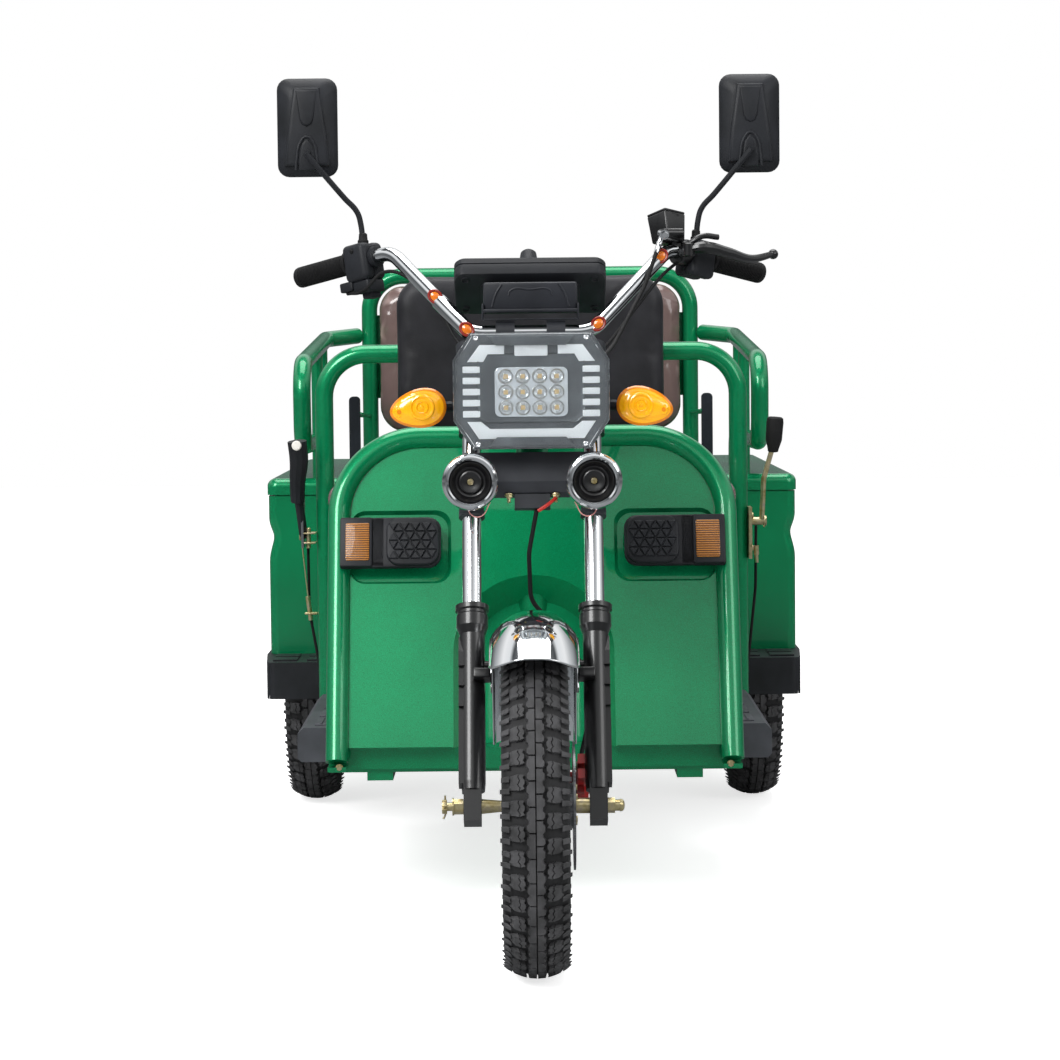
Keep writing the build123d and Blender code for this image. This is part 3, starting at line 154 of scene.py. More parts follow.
shown = add(tree, "ShaderNodeMixShader", {0: (clear, 0), 1: (gloss, 0), 2: (plain, 0)})
tree.links.new(shown.outputs[0], tree.nodes["World Output"].inputs["Surface"])

for lamp_name, spot, aim, size, power in (
        ("key_lamp", (-2.4, -3.9, 3.4), (0, -0.3, 0.6), 2.0, 165),
        ("fill_lamp", (3.0, -3.2, 2.4), (0, -0.2, 0.6), 1.8, 34),
        ("top_lamp", (0, 0.2, 4.4), (0, 0, 0.5), 3.2, 150)):
    lamp = bpy.data.lights.new(lamp_name, "AREA")
    lamp.energy = power
    lamp.size = size
    holder = bpy.data.objects.new(lamp_name, lamp)
    scene.collection.objects.link(holder)
    aimed = (Vector(aim) - Vector(spot)).to_track_quat("-Z", "Y").to_matrix().to_4x4()
    holder.matrix_world = Matrix.Translation(spot) @ aimed

# ---------------------------------------------------------------- lacquered steel
# Frame, tubes and pressed panels: phosphated steel sprayed with a metallic green lacquer.
# The flake sits under a clear coat, so the eye gets a soft sparkle below a sharp gloss. A real
# flake is too fine to show, so it is drawn 0.7 mm wide, with 200 mm drifts in its depth.


def coat(finish, *node_names):
    """Gives CAD nodes a finish."""
    for name in node_names:
        mesh = frame["nodes"][name].data
        mesh.materials.clear()
        mesh.materials.append(finish)


def slot_nodes(slot_name):
    """The CAD nodes that the record gives a material slot."""
    return [s["node"] for s in frame["record"]["subparts"] if s["material_slot"] == slot_name]


green, tree, shader = material("metallic_green_lacquer", Metallic=0.4, Roughness=0.34, Coat_Weight=0.8,
                               Coat_Roughness=0.04, Specular_IOR_Level=0.10)
place = add(tree, "ShaderNodeTexCoord")
flake = add(tree, "ShaderNodeTexNoise", {"Vector": (place, "Object")}, {"Scale": 1400.0, "Detail": 1.0})
cloud = add(tree, "ShaderNodeTexNoise", {"Vector": (place, "Object")}, {"Scale": 5.0, "Detail": 3.0})
tint = ramp(tree, (flake, "Fac"), [(0.32, "#036c41"), (0.70, "#0aa066")])
shade = ramp(tree, (cloud, "Fac"), [(0.30, "#e6e6e6"), (0.70, "#ffffff")])
paint = add(tree, "ShaderNodeMix", {6: (tint, "Color"), 7: (shade, "Color")}, {0: 1.0}, data_type="RGBA",
            blend_type="MULTIPLY")
peel = add(tree, "ShaderNodeBump", {"Height": (cloud, "Fac")}, {"Strength": 0.04, "Distance": 0.002})
tree.links.new(paint.outputs[2], shader.inputs["Base Color"])
tree.links.new(peel.outputs[0], shader.inputs["Coat Normal"])
coat(green, *slot_nodes("green_paint"))

# ---------------------------------------------------------------- tyres
# Carbon-black rubber, moulded: a centre rib with toothed edges, on each side a row of blocks
# cut in two by a wavy sipe, and small shoulder lugs. Matt, with a paler bloom on the tread.
FRONT_HUB_Y = -1.035
REAR_HUB_Y = 0.665
TRACK_HALF = 0.4275
TYRE_R = 0.240
TYRE_HALF = 0.046
BEAD_R = 0.159
TREAD = 0.0055
PITCHES = 43
STAGGER_MM = 17.4
SHOULDER = 0.036
TREAD_ROOT = 0.002
BLOCK_DRAFT = 0.06


def spun(profile, axis, steps, place=Matrix.Identity(4)):
    """Turned piece: a line of (along, radius) points spun about an axis through the origin."""
    bm = bmesh.new()
    side = {"X": Vector((0, 0, 1)), "Y": Vector((0, 0, 1)), "Z": Vector((1, 0, 0))}[axis]
    along = {"X": Vector((1, 0, 0)), "Y": Vector((0, 1, 0)), "Z": Vector((0, 0, 1))}[axis]
    verts = [bm.verts.new(along * a + side * r) for a, r in profile]
    edges = [bm.edges.new(pair) for pair in zip(verts, verts[1:])]
    bmesh.ops.spin(bm, geom=verts + edges, cent=(0, 0, 0), axis=along, angle=math.tau, steps=steps,
                   use_merge=True)
    bmesh.ops.remove_doubles(bm, verts=bm.verts, dist=1e-6)
    bmesh.ops.recalc_face_normals(bm, faces=bm.faces)
    bmesh.ops.transform(bm, matrix=place, verts=bm.verts)
    return bm


def merge(bm, part, place=Matrix.Identity(4)):
    """Joins a finished part into a piece, at its place."""
    held = bpy.data.meshes.new("part")
    part.transform(place)
    part.to_mesh(held)
    part.free()
    bm.from_mesh(held)
    bpy.data.meshes.remove(held)


def drawn(bm, faces, way):
    """Extrudes faces along a vector and gives the verts of the new end."""
    grown = bmesh.ops.extrude_face_region(bm, geom=faces)
    end = [g for g in grown["geom"] if isinstance(g, bmesh.types.BMVert)]
    bmesh.ops.translate(bm, vec=way, verts=end)
    return end


def smooth(made, angle=35):
    """Smooth shading that breaks at edges sharper than the angle."""
    for face in made.data.polygons:
        face.use_smooth = True
    made.data.set_sharp_from_angle(angle=math.radians(angle))
    return made


def crown(x):
    """Radius of the tread surface at x across the tyre."""
    return TYRE_R - 7.6 * x * x


def tread_block(bm, outline):
    """Block of the tread from its flat outline, (across, along) in millimetres, drawn in on top."""
    ring = [bm.verts.new((x / 1000, s / 1000, -TREAD - TREAD_ROOT)) for x, s in outline]
    top = drawn(bm, [bm.faces.new(ring)], (0, 0, TREAD + TREAD_ROOT))
    centre = sum((v.co for v in top), Vector()) / len(top)
    for v in top:
        v.co.x += (centre.x - v.co.x) * BLOCK_DRAFT
        v.co.y += (centre.y - v.co.y) * BLOCK_DRAFT


def wrap_tread(bm, turn):
    """Bends flat tread round the tyre: across stays X, along goes round, height goes out."""
    for v in bm.verts:
        x, s, h = v.co
        angle = s / TYRE_R + turn
        tilt = min(1.0, abs(x) / TYRE_HALF) * 0.9
        radius = crown(x) + h * math.cos(tilt)
        v.co = (x + math.copysign(h * math.sin(tilt), x), -radius * math.cos(angle), radius * math.sin(angle))


RIB = [(-0.4, 0), (-0.4, 34.9), (-9.0, 34.9), (-9.0, 31), (-11.8, 28), (-11.8, 20), (-9.2, 17), (-9.2, 12),
       (-11.8, 9), (-11.8, 3), (-9.0, 0)]
BLOCK_OUT = [(22.2, 4.5), (21.2, 8), (24.6, 13), (21.6, 19), (24.2, 24), (23.0, 28), (29.6, 26.5), (32.6, 23),
             (30.2, 19.5), (30.2, 12.5), (32.6, 9.5), (30.0, 5.5)]
BLOCK_IN = [(14.4, 7), (17.0, 10.5), (14.6, 14), (14.6, 19), (17.2, 22.5), (15.4, 27), (21.4, 28), (22.9, 24),
            (20.3, 19), (23.3, 13), (19.9, 8), (21.0, 4.5)]
LUG_A = [(34.8, 0.5), (34.8, 9), (42.5, 8), (42.5, 1.5)]
LUG_B = [(35.4, 17), (35.4, 26), (41.0, 25), (41.0, 18)]


def tyre_mesh(x_mid, y_mid):
    """Carcass spun from its section, with every tread block wrapped on."""
    section = [(TYRE_HALF - 0.012, BEAD_R), (TYRE_HALF - 0.004, 0.166), (TYRE_HALF - 0.0015, 0.176),
               (TYRE_HALF, 0.190), (TYRE_HALF, 0.202), (TYRE_HALF - 0.0015, 0.2125), (0.0415, 0.2215),
               (SHOULDER + 0.001, crown(SHOULDER) - TREAD)]
    section += [(x, crown(x) - TREAD) for x in (0.028, 0.020, 0.010, 0.0)]
    section += [(-x, r) for x, r in section[-2::-1]]
    bm = spun(section, "X", 172)
    for step in range(PITCHES):
        part = bmesh.new()
        for outline in (RIB, BLOCK_OUT, BLOCK_IN, LUG_A, LUG_B):
            tread_block(part, outline)
            tread_block(part, [(-x, s + STAGGER_MM) for x, s in outline])
        for face in part.faces:
            face.material_index = 1
        bmesh.ops.recalc_face_normals(part, faces=part.faces)
        wrap_tread(part, math.tau * step / PITCHES)
        merge(bm, part)
    bmesh.ops.recalc_face_normals(bm, faces=bm.faces)
    bmesh.ops.translate(bm, vec=(x_mid, y_mid, TYRE_R), verts=bm.verts)
    return bm


# the bloom drifts over 25 mm, and the mould's grain is drawn 1.1 mm wide so that it shows
rubber, tree, shader = material("moulded_carbon_rubber", Roughness=0.72, IOR=1.52)
place = add(tree, "ShaderNodeTexCoord")
bloom = add(tree, "ShaderNodeTexNoise", {"Vector": (place, "Object")}, {"Scale": 40.0, "Detail": 6.0})
grain = add(tree, "ShaderNodeTexNoise", {"Vector": (place, "Object")}, {"Scale": 900.0, "Detail": 2.0})
tint = ramp(tree, (bloom, "Fac"), [(0.30, "#29292a"), (0.72, "#454547")])
bump = add(tree, "ShaderNodeBump", {"Height": (grain, "Fac")}, {"Strength": 0.25, "Distance": 0.0004})
tree.links.new(tint.outputs["Color"], shader.inputs["Base Color"])
tree.links.new(bump.outputs[0], shader.inputs["Normal"])

casing = rubber.copy()
casing.name = "carbon_rubber_casing"
shades = casing.node_tree.nodes["Color Ramp"].color_ramp.elements
shades[0].color, shades[1].color = linear("#131314"), linear("#1e1e20")

for node, body, wheel_x, wheel_y in (("front_tyre", "front_wheel", 0.0, FRONT_HUB_Y),
                                     ("rear_tyre_left", "rear_wheel_left", TRACK_HALF, REAR_HUB_Y),
                                     ("rear_tyre_right", "rear_wheel_right", -TRACK_HALF, REAR_HUB_Y)):
    tyre = smooth(link(tyre_mesh(wheel_x, wheel_y), node + "_treaded"), 40)
    tyre.data.materials.append(casing)
    tyre.data.materials.append(rubber)
    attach(tyre, body)
    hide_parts(node)

# ---------------------------------------------------------------- headlight
# Moulded dark-grey bowl behind a clear eight-sided cover, screwed at four corners: a panel of
# twelve domed lenses in the middle, milky light guides round it, and stepped frame lines.
LAMP_MID = Vector((0, -0.895, 0.820))
LAMP_HALF = (0.113, 0.084)
TOP_CUT = (0.0245, 0.039)
LOW_CUT = (0.027, 0.042)
LAMP_RIM_X = 0.1095
COVER_T = 0.003
BOWL_FLOOR = 0.016
BOWL_SUNK = 0.013
GUIDE_T = 0.006


def eight_sides(inset):
    """The lamp's outline as (x, z), drawn in by inset."""
    w, h = LAMP_HALF[0] - inset, LAMP_HALF[1] - inset
    return [(-w, h - TOP_CUT[1]), (-w + TOP_CUT[0], h), (w - TOP_CUT[0], h), (w, h - TOP_CUT[1]),
            (w, -h + LOW_CUT[1]), (w - LOW_CUT[0], -h), (-w + LOW_CUT[0], -h), (-w, -h + LOW_CUT[1])]


def plate(outline, depth, bevel=0.0, segments=2):
    """Plate from an (x, z) outline: its face at y 0 looks forward, its back lies at depth."""
    own = bmesh.new()
    face = own.faces.new([own.verts.new((x, 0, z)) for x, z in outline])
    face.normal_update()
    if face.normal.y > 0:
        face.normal_flip()
    drawn(own, [face], (0, depth, 0))
    bmesh.ops.recalc_face_normals(own, faces=own.faces)
    if bevel:
        front = [e for e in own.edges if all(abs(v.co.y) < 1e-7 for v in e.verts)]
        bmesh.ops.bevel(own, geom=front, offset=bevel, segments=segments, profile=0.5, affect="EDGES",
                        material=-1)
    return own


def rounded(w, h, r, steps=5):
    """Rounded rectangle outline round the origin."""
    points = []
    for cx, cz, start in ((w / 2 - r, h / 2 - r, 0), (-w / 2 + r, h / 2 - r, 90),
                          (-w / 2 + r, -h / 2 + r, 180), (w / 2 - r, -h / 2 + r, 270)):
        for k in range(steps + 1):
            a = math.radians(start + 90 * k / steps)
            points.append((cx + r * math.cos(a), cz + r * math.sin(a)))
    return points


def rounded_block(lo, hi, corner, segments=3):
    """Block with every edge rounded."""
    bm = bmesh.new()
    bmesh.ops.create_cube(bm, size=1.0)
    bmesh.ops.scale(bm, vec=[b - a for a, b in zip(lo, hi)], verts=bm.verts)
    bmesh.ops.translate(bm, vec=[(a + b) / 2 for a, b in zip(lo, hi)], verts=bm.verts)
    bmesh.ops.bevel(bm, geom=bm.edges[:], offset=corner, segments=segments, profile=0.5, affect="EDGES",
                    material=-1)
    return bm


def piece(bm, name, finish, body, slot_name, angle=35, *replaced):
    """Finished object: shaded, coloured, and riding on its body."""
    made = smooth(link(bm, name), angle)
    made.data.materials.append(finish)
    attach(made, body)
    if replaced:
        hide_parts(*replaced)
    return made


# clear cover; satin bowl whose tone drifts over 38 mm; milky bars with a small painted glow that stands in
# for daylight caught inside them; bright lens panel; and thick clear domes
polycarbonate = material("moulded_clear_polycarbonate", Base_Color=linear("#f4f8fa"), Roughness=0.03,
                         IOR=1.45, Transmission_Weight=1.0)[0]
reflector, tree, shader = material("satin_dark_reflector_abs", Roughness=0.36, Metallic=0.25, Coat_Weight=0.3)
place = add(tree, "ShaderNodeTexCoord")
mist = add(tree, "ShaderNodeTexNoise", {"Vector": (place, "Object")}, {"Scale": 26.0, "Detail": 3.0})
tint = ramp(tree, (mist, "Fac"), [(0.3, "#4c5054"), (0.7, "#63676b")])
tree.links.new(tint.outputs["Color"], shader.inputs["Base Color"])
guide, tree, shader = material("milky_light_guide_acrylic", Base_Color=linear("#f4f5f6"), Roughness=0.28,
                               Emission_Color=linear("#ffffff"), Emission_Strength=0.10,
                               Subsurface_Weight=0.25, Coat_Weight=0.5)
shader.inputs["Subsurface Radius"].default_value = (0.004, 0.004, 0.004)
silver = material("aluminised_lamp_panel", Base_Color=linear("#d9dcdf"), Metallic=0.65, Roughness=0.20)[0]
lens_plastic = material("cast_acrylic_lens", Base_Color=linear("#f6f8f9"), Roughness=0.05, IOR=1.49,
                        Transmission_Weight=0.75, Coat_Weight=1.0)[0]

# bowl: front face set back inside its rim, back drawn in, and the electrics box behind it
at_lamp = Matrix.Translation(LAMP_MID)
bm = bmesh.new()
merge(bm, plate(eight_sides(0), BOWL_FLOOR))
front = [f for f in bm.faces if f.normal.y < -0.9]
bmesh.ops.inset_region(bm, faces=front, thickness=0.004, use_even_offset=True)
front = [f for f in bm.faces if f.normal.y < -0.9 and all(abs(v.co.x) < LAMP_RIM_X for v in f.verts)]
bmesh.ops.translate(bm, vec=(0, BOWL_SUNK, 0), verts=list({v for f in front for v in f.verts}))
back = [f for f in bm.faces if f.normal.y > 0.9]
bmesh.ops.scale(bm, vec=(0.70, 1, 0.60), verts=drawn(bm, back, (0, 0.033, 0)))
bmesh.ops.delete(bm, geom=back, context="FACES")
box = plate(rounded(0.116, 0.084, 0.008), 0.025)
merge(bm, box, Matrix.Translation((0, 0.048, 0.002)))
bmesh.ops.transform(bm, matrix=at_lamp @ Matrix.Translation((0, COVER_T, 0)), verts=bm.verts)
bmesh.ops.recalc_face_normals(bm, faces=bm.faces)
piece(bm, "lamp_bowl", reflector, "steering", "lamp_inside", 35, "headlight_housing")

# cover: bevelled, with a step inside its edge, and its four screws
bm = plate(eight_sides(0.0006), COVER_T, 0.0012)
front = [f for f in bm.faces if f.normal.y < -0.99]
bmesh.ops.inset_region(bm, faces=front, thickness=0.0035, depth=0.0, use_even_offset=True)
front = [f for f in bm.faces if f.normal.y < -0.99 and all(abs(v.co.x) < LAMP_RIM_X for v in f.verts)]
bmesh.ops.inset_region(bm, faces=front, thickness=0.0006, depth=-0.0012, use_even_offset=True)
bmesh.ops.transform(bm, matrix=at_lamp, verts=bm.verts)
piece(bm, "lamp_cover", polycarbonate, "steering", "clear_lens", 30, "headlight_cover")

bm = bmesh.new()
for x, z in ((-0.0795, 0.0765), (0.0795, 0.0765), (-0.0775, -0.0765), (0.0775, -0.0765)):
    screw = spun([(0.0060, 0.0038), (-0.0004, 0.0036), (-0.0010, 0.0026), (-0.0002, 0.0010), (-0.0002, 0.0)],
                 "Y", 16)
    merge(bm, screw, at_lamp @ Matrix.Translation((x, 0.0016, z)))
piece(bm, "lamp_screws", silver, "steering", "lamp_inside")

# stepped bezel round the lens panel and the notched frames above and below it
bm = bmesh.new()
at_floor = at_lamp @ Matrix.Translation((0, BOWL_FLOOR, 0))
bezel = [(-0.078, 0.046), (-0.066, 0.054), (0.066, 0.054), (0.078, 0.046), (0.078, -0.036), (0.066, -0.046),
         (-0.066, -0.046), (-0.078, -0.036)]
part = plate(bezel, 0.004, 0.0015)
front = [f for f in part.faces if f.normal.y < -0.99]
bmesh.ops.inset_region(part, faces=front, thickness=0.009, depth=0.0)
front = [f for f in part.faces if f.normal.y < -0.99 and all(abs(v.co.x) < 0.070 for v in f.verts)]
bmesh.ops.translate(part, vec=(0, 0.003, 0), verts=list({v for f in front for v in f.verts}))
merge(bm, part, at_floor @ Matrix.Translation((0, -0.006, 0)))
for outline in ([(-0.064, 0.0795), (-0.050, 0.0655), (0.050, 0.0655), (0.064, 0.0795)],
                [(-0.062, -0.0795), (-0.050, -0.0665), (0.050, -0.0665), (0.062, -0.0795)]):
    merge(bm, plate(outline, 0.012, 0.0015), at_floor @ Matrix.Translation((0, -0.0125, 0)))
piece(bm, "lamp_bezel", reflector, "steering", "lamp_inside")

# milky guides: five bars each side, a centre bar, two corner bars and the wide bar below
bm = bmesh.new()
for side in (-1, 1):
    for row in range(5):
        part = plate(rounded(0.025, 0.0095, 0.0012, 2), GUIDE_T, 0.0008)
        merge(bm, part, at_floor @ Matrix.Translation((side * 0.0865, -GUIDE_T, 0.031 - 0.016 * row)))
    corner = [(0.0385, 0.0665), (0.0745, 0.0665), (0.0925, 0.0420), (0.0690, 0.0420), (0.0625, 0.0530),
              (0.0385, 0.0530)]
    merge(bm, plate([(side * x, z) for x, z in corner], GUIDE_T, 0.0012),
          at_floor @ Matrix.Translation((0, -GUIDE_T, 0)))
merge(bm, plate(rounded(0.048, 0.0165, 0.002, 3), GUIDE_T, 0.001),
      at_floor @ Matrix.Translation((0, -GUIDE_T, 0.0585)))
wide = [(-0.0930, -0.0440), (-0.0730, -0.0440), (-0.0600, -0.0545), (0.0600, -0.0545), (0.0730, -0.0440),
        (0.0930, -0.0440), (0.0760, -0.0690), (-0.0760, -0.0690)]
merge(bm, plate(wide, GUIDE_T, 0.0012), at_floor @ Matrix.Translation((0, -0.0065, 0)))
piece(bm, "lamp_guides", guide, "steering", "clear_lens")

# lens panel with twelve domes, each in its own ring
bm = plate(rounded(0.106, 0.072, 0.009), 0.006, 0.0015)
bmesh.ops.transform(bm, matrix=at_floor @ Matrix.Translation((0, -0.008, -0.0015)), verts=bm.verts)
piece(bm, "lamp_panel", silver, "steering", "lamp_inside")
domes = bmesh.new()
rings = bmesh.new()
emitters = bmesh.new()
for col in range(4):
    for row in range(3):
        spot = at_floor @ Matrix.Translation((0.0245 * (col - 1.5), -0.008, -0.0015 + 0.0225 * (row - 1)))
        dome = [(0.0006, 0.0098), (-0.0022, 0.0094), (-0.0046, 0.0074), (-0.0058, 0.0042), (-0.0062, 0.0)]
        merge(domes, spun(dome, "Y", 24), spot)
        ring = [(0.0005, 0.0112), (-0.0016, 0.0112), (-0.0022, 0.0106), (-0.0016, 0.0100), (0.0005, 0.0100)]
        merge(rings, spun(ring, "Y", 24), spot)
        merge(emitters, rounded_block((-0.0028, -0.0018, -0.0028), (0.0028, -0.0004, 0.0028), 0.0004), spot)
piece(domes, "lamp_domes", lens_plastic, "steering", "clear_lens")
piece(rings, "lamp_rings", silver, "steering", "lamp_inside")
# the phosphor carries a small painted glow; no light is lit inside the lamp
phosphor = material("yellow_phosphor_coating", Base_Color=linear("#f0bd1e"), Roughness=0.5,
                    Emission_Color=linear("#f0b81a"), Emission_Strength=0.2)[0]
piece(emitters, "lamp_emitters", phosphor, "steering", "lamp_inside")

# ---------------------------------------------------------------- horns
# Two electric disc horns on the crossbar: chromed steel shell with a rolled rim, and a black
# stepped diaphragm cover held by one yellow-zinc screw.
HORN_MID = Vector((0.089, -0.912, 0.690))

# mirror-bright plate with a 17 mm haze, gloss black with 4 mm orange peel, and zinc passivated
# yellow, whose colour drifts over 11 mm
chrome, tree, shader = material("bright_chromium_plate", Base_Color=linear("#e6e8ea"), Metallic=1.0)
place = add(tree, "ShaderNodeTexCoord")
haze = add(tree, "ShaderNodeTexNoise", {"Vector": (place, "Object")}, {"Scale": 60.0, "Detail": 4.0})
rough = add(tree, "ShaderNodeMapRange", {"Value": (haze, "Fac")}, {"To Min": 0.03, "To Max": 0.12})
tree.links.new(rough.outputs[0], shader.inputs["Roughness"])
enamel, tree, shader = material("stoved_black_enamel", Base_Color=linear("#0b0b0d"), Roughness=0.36,
                                Coat_Weight=0.4, Coat_Roughness=0.12)
place = add(tree, "ShaderNodeTexCoord")
peel = add(tree, "ShaderNodeTexNoise", {"Vector": (place, "Object")}, {"Scale": 260.0, "Detail": 2.0})
bump = add(tree, "ShaderNodeBump", {"Height": (peel, "Fac")}, {"Strength": 0.12, "Distance": 0.0006})
tree.links.new(bump.outputs[0], shader.inputs["Normal"])
brass, tree, shader = material("yellow_passivated_zinc", Base_Color=linear("#a98f5c"), Metallic=0.9,
                               Roughness=0.34)
place = add(tree, "ShaderNodeTexCoord")
iris = add(tree, "ShaderNodeTexNoise", {"Vector": (place, "Object")}, {"Scale": 90.0, "Detail": 2.0})
tint = ramp(tree, (iris, "Fac"), [(0.3, "#b3a06a"), (0.55, "#d8cba0"), (0.75, "#c7b7a4")])
tree.links.new(tint.outputs["Color"], shader.inputs["Base Color"])

shells, covers, screws = bmesh.new(), bmesh.new(), bmesh.new()
for side in (-1, 1):
    spot = Matrix.Translation((side * HORN_MID.x, HORN_MID.y, HORN_MID.z))
    shell = [(0.0060, 0.0300), (0.0024, 0.0312), (0.0004, 0.0335), (0.0, 0.0360), (0.0010, 0.0385),
             (0.0035, 0.0403), (0.0060, 0.0410), (0.0140, 0.0410), (0.0175, 0.0395), (0.0220, 0.0350),
             (0.0300, 0.0240), (0.0380, 0.0120), (0.0380, 0.0)]
    merge(shells, spun(shell, "Y", 64), spot)
    cover = [(0.0062, 0.0302), (0.0036, 0.0290), (0.0036, 0.0275), (0.0110, 0.0215), (0.0125, 0.0175),
             (0.0118, 0.0168), (0.0078, 0.0160), (0.0072, 0.0145), (0.0082, 0.0100), (0.0098, 0.0060),
             (0.0100, 0.0)]
    merge(covers, spun(cover, "Y", 48), spot)
    screw = [(0.0100, 0.0046), (0.0070, 0.0046), (0.0062, 0.0038), (0.0062, 0.0020), (0.0080, 0.0017),
             (0.0080, 0.0)]
    merge(screws, spun(screw, "Y", 12), spot)
    stud = bmesh.new()
    bmesh.ops.create_cone(stud, cap_ends=True, segments=24, radius1=0.008, radius2=0.008, depth=0.016)
    merge(shells, stud, spot @ Matrix.Translation((0, 0.044, 0)) @ Matrix.Rotation(math.radians(90), 4, "X"))
piece(shells, "horn_shells", chrome, "steering", "chrome", 30, "horns")
piece(covers, "horn_covers", enamel, "steering", "black_paint", 30)
piece(screws, "horn_screws", brass, "steering", "zinc", 30)

# ---------------------------------------------------------------- metals of the fork
# Hard-chromed stanchions and bar, black enamelled castings, plated axle and gear lever, and the
# bare steel disc, turned: its rings lie 1.7 mm apart so that they show.
turned_steel, tree, shader = material("turned_bare_steel", Metallic=1.0, Roughness=0.34)
place = add(tree, "ShaderNodeTexCoord")
lathe = add(tree, "ShaderNodeTexWave", {"Vector": (place, "Object")}, {"Scale": 180.0, "Distortion": 0.4},
            wave_type="RINGS", rings_direction="X")
tint = ramp(tree, (lathe, "Fac"), [(0.0, "#8b8c8e"), (1.0, "#a9abad")])
tree.links.new(tint.outputs["Color"], shader.inputs["Base Color"])
coat(chrome, "stanchions", "handlebar", "front_fender")
coat(brass, "front_axle", "gear_lever")
coat(turned_steel, "brake_disc")
coat(enamel, *slot_nodes("black_paint"))

# ---------------------------------------------------------------- moulded plastics
# Grained black polypropylene for pads, steps and housings, a greyer one for the footrests, and
# soft rubber for grips and sheaths. The spark-eroded grain is drawn about 1.5 mm wide so that it
# shows, and gives a broken, satin light.


def grained(name, dark, light, rough, grain_scale, strength):
    """Finish with a fine raised grain and a slow drift between two close tones."""
    made, tree, shader = material(name, Roughness=rough, Specular_IOR_Level=0.30)
    place = add(tree, "ShaderNodeTexCoord")
    patch = add(tree, "ShaderNodeTexNoise", {"Vector": (place, "Object")}, {"Scale": 18.0, "Detail": 4.0})
    grain = add(tree, "ShaderNodeTexNoise", {"Vector": (place, "Object")},
                {"Scale": grain_scale, "Detail": 2.0})
    tint = ramp(tree, (patch, "Fac"), [(0.3, dark), (0.7, light)])
    bump = add(tree, "ShaderNodeBump", {"Height": (grain, "Fac")}, {"Strength": strength, "Distance": 0.0003})
    tree.links.new(tint.outputs["Color"], shader.inputs["Base Color"])
    tree.links.new(bump.outputs[0], shader.inputs["Normal"])
    return made


black_pp = grained("grained_black_polypropylene", "#15171a", "#212328", 0.50, 700.0, 0.35)
grey_pp = grained("grained_grey_polypropylene", "#393b40", "#484a50", 0.58, 600.0, 0.40)
soft_rubber = grained("moulded_soft_rubber", "#0d0d0e", "#161617", 0.66, 800.0, 0.30)
coat(black_pp, *slot_nodes("black_plastic"))
coat(grey_pp, *slot_nodes("grey_plastic"))
coat(soft_rubber, *slot_nodes("grip_rubber"))

# ---------------------------------------------------------------- caliper and front rim
# A die-cast caliper in stoved red enamel, and a rim cast in aluminium and painted silver, which
# keeps a little of the casting's grain.
red_enamel = material("stoved_red_enamel", Base_Color=linear("#a81e1c"), Roughness=0.35, Coat_Weight=0.4)[0]
alloy = grained("silver_painted_cast_alloy", "#7c7f83", "#9a9da1", 0.38, 420.0, 0.25)
coat(red_enamel, "brake_caliper")
coat(alloy, "front_rim")

# ---------------------------------------------------------------- grips and switch housings
# Ribbed rubber grips with an end flange, and two-part polypropylene housings with a seam, a screw at
# the front and rocker switches on the rider's side, all turned or bevelled on the bar's axis.
BAR_END = Vector((0.360, -0.465, 0.996))
BAR_SHOULDER = Vector((0.212, -0.590, 1.030))
GRIP_WAY = (BAR_SHOULDER - BAR_END).normalized()
GRIP_LEVEL = Vector((0, 0, 1)).cross(GRIP_WAY)
RIBS = 30
RIB_PITCH = 0.0032
GRIP_R = 0.0165


def placed(origin, way, level=(0, 0, 1)):
    """Matrix that stands a part's Z along way, with its X as near to level as it goes."""
    z = Vector(way).normalized()
    y = z.cross(Vector(level)).normalized()
    return Matrix.Translation(origin) @ Matrix((y.cross(z), y, z)).transposed().to_4x4()


def mirrored(bm):
    """The part with its mirror image across the centre plane."""
    bmesh.ops.mirror(bm, geom=bm.verts[:] + bm.edges[:] + bm.faces[:], axis="X", merge_dist=-1)
    bmesh.ops.recalc_face_normals(bm, faces=bm.faces)
    return bm


def bolt(bm, spot, way, radius, height, sides=6):
    """Bolt head with a washer, standing on spot."""
    head = spun([(height, 0.0), (height, radius * 0.86), (height * 0.86, radius), (height * 0.25, radius)],
                "Z", sides)
    washer = spun([(height * 0.25, 0.0), (height * 0.25, radius * 1.35), (-0.0005, radius * 1.35)], "Z", 20)
    merge(bm, head, placed(spot, way))
    merge(bm, washer, placed(spot, way))


at_grip = placed(BAR_END, GRIP_WAY, GRIP_LEVEL)
section = [(-0.004, 0.0), (-0.004, 0.0140), (-0.0025, 0.0160), (0.0, GRIP_R)]
for rib in range(RIBS):
    start = 0.005 + RIB_PITCH * rib
    section += [(start, GRIP_R), (start + 0.0012, GRIP_R), (start + 0.0017, 0.0153), (start + 0.0027, 0.0153)]
section += [(0.1045, GRIP_R), (0.1060, 0.0205), (0.1110, 0.0210), (0.1120, 0.0200), (0.1120, 0.0114)]
bm = spun(section, "Z", 40, at_grip)
piece(mirrored(bm), "grips_ribbed", soft_rubber, "steering", "grip_rubber", 30, "grips")

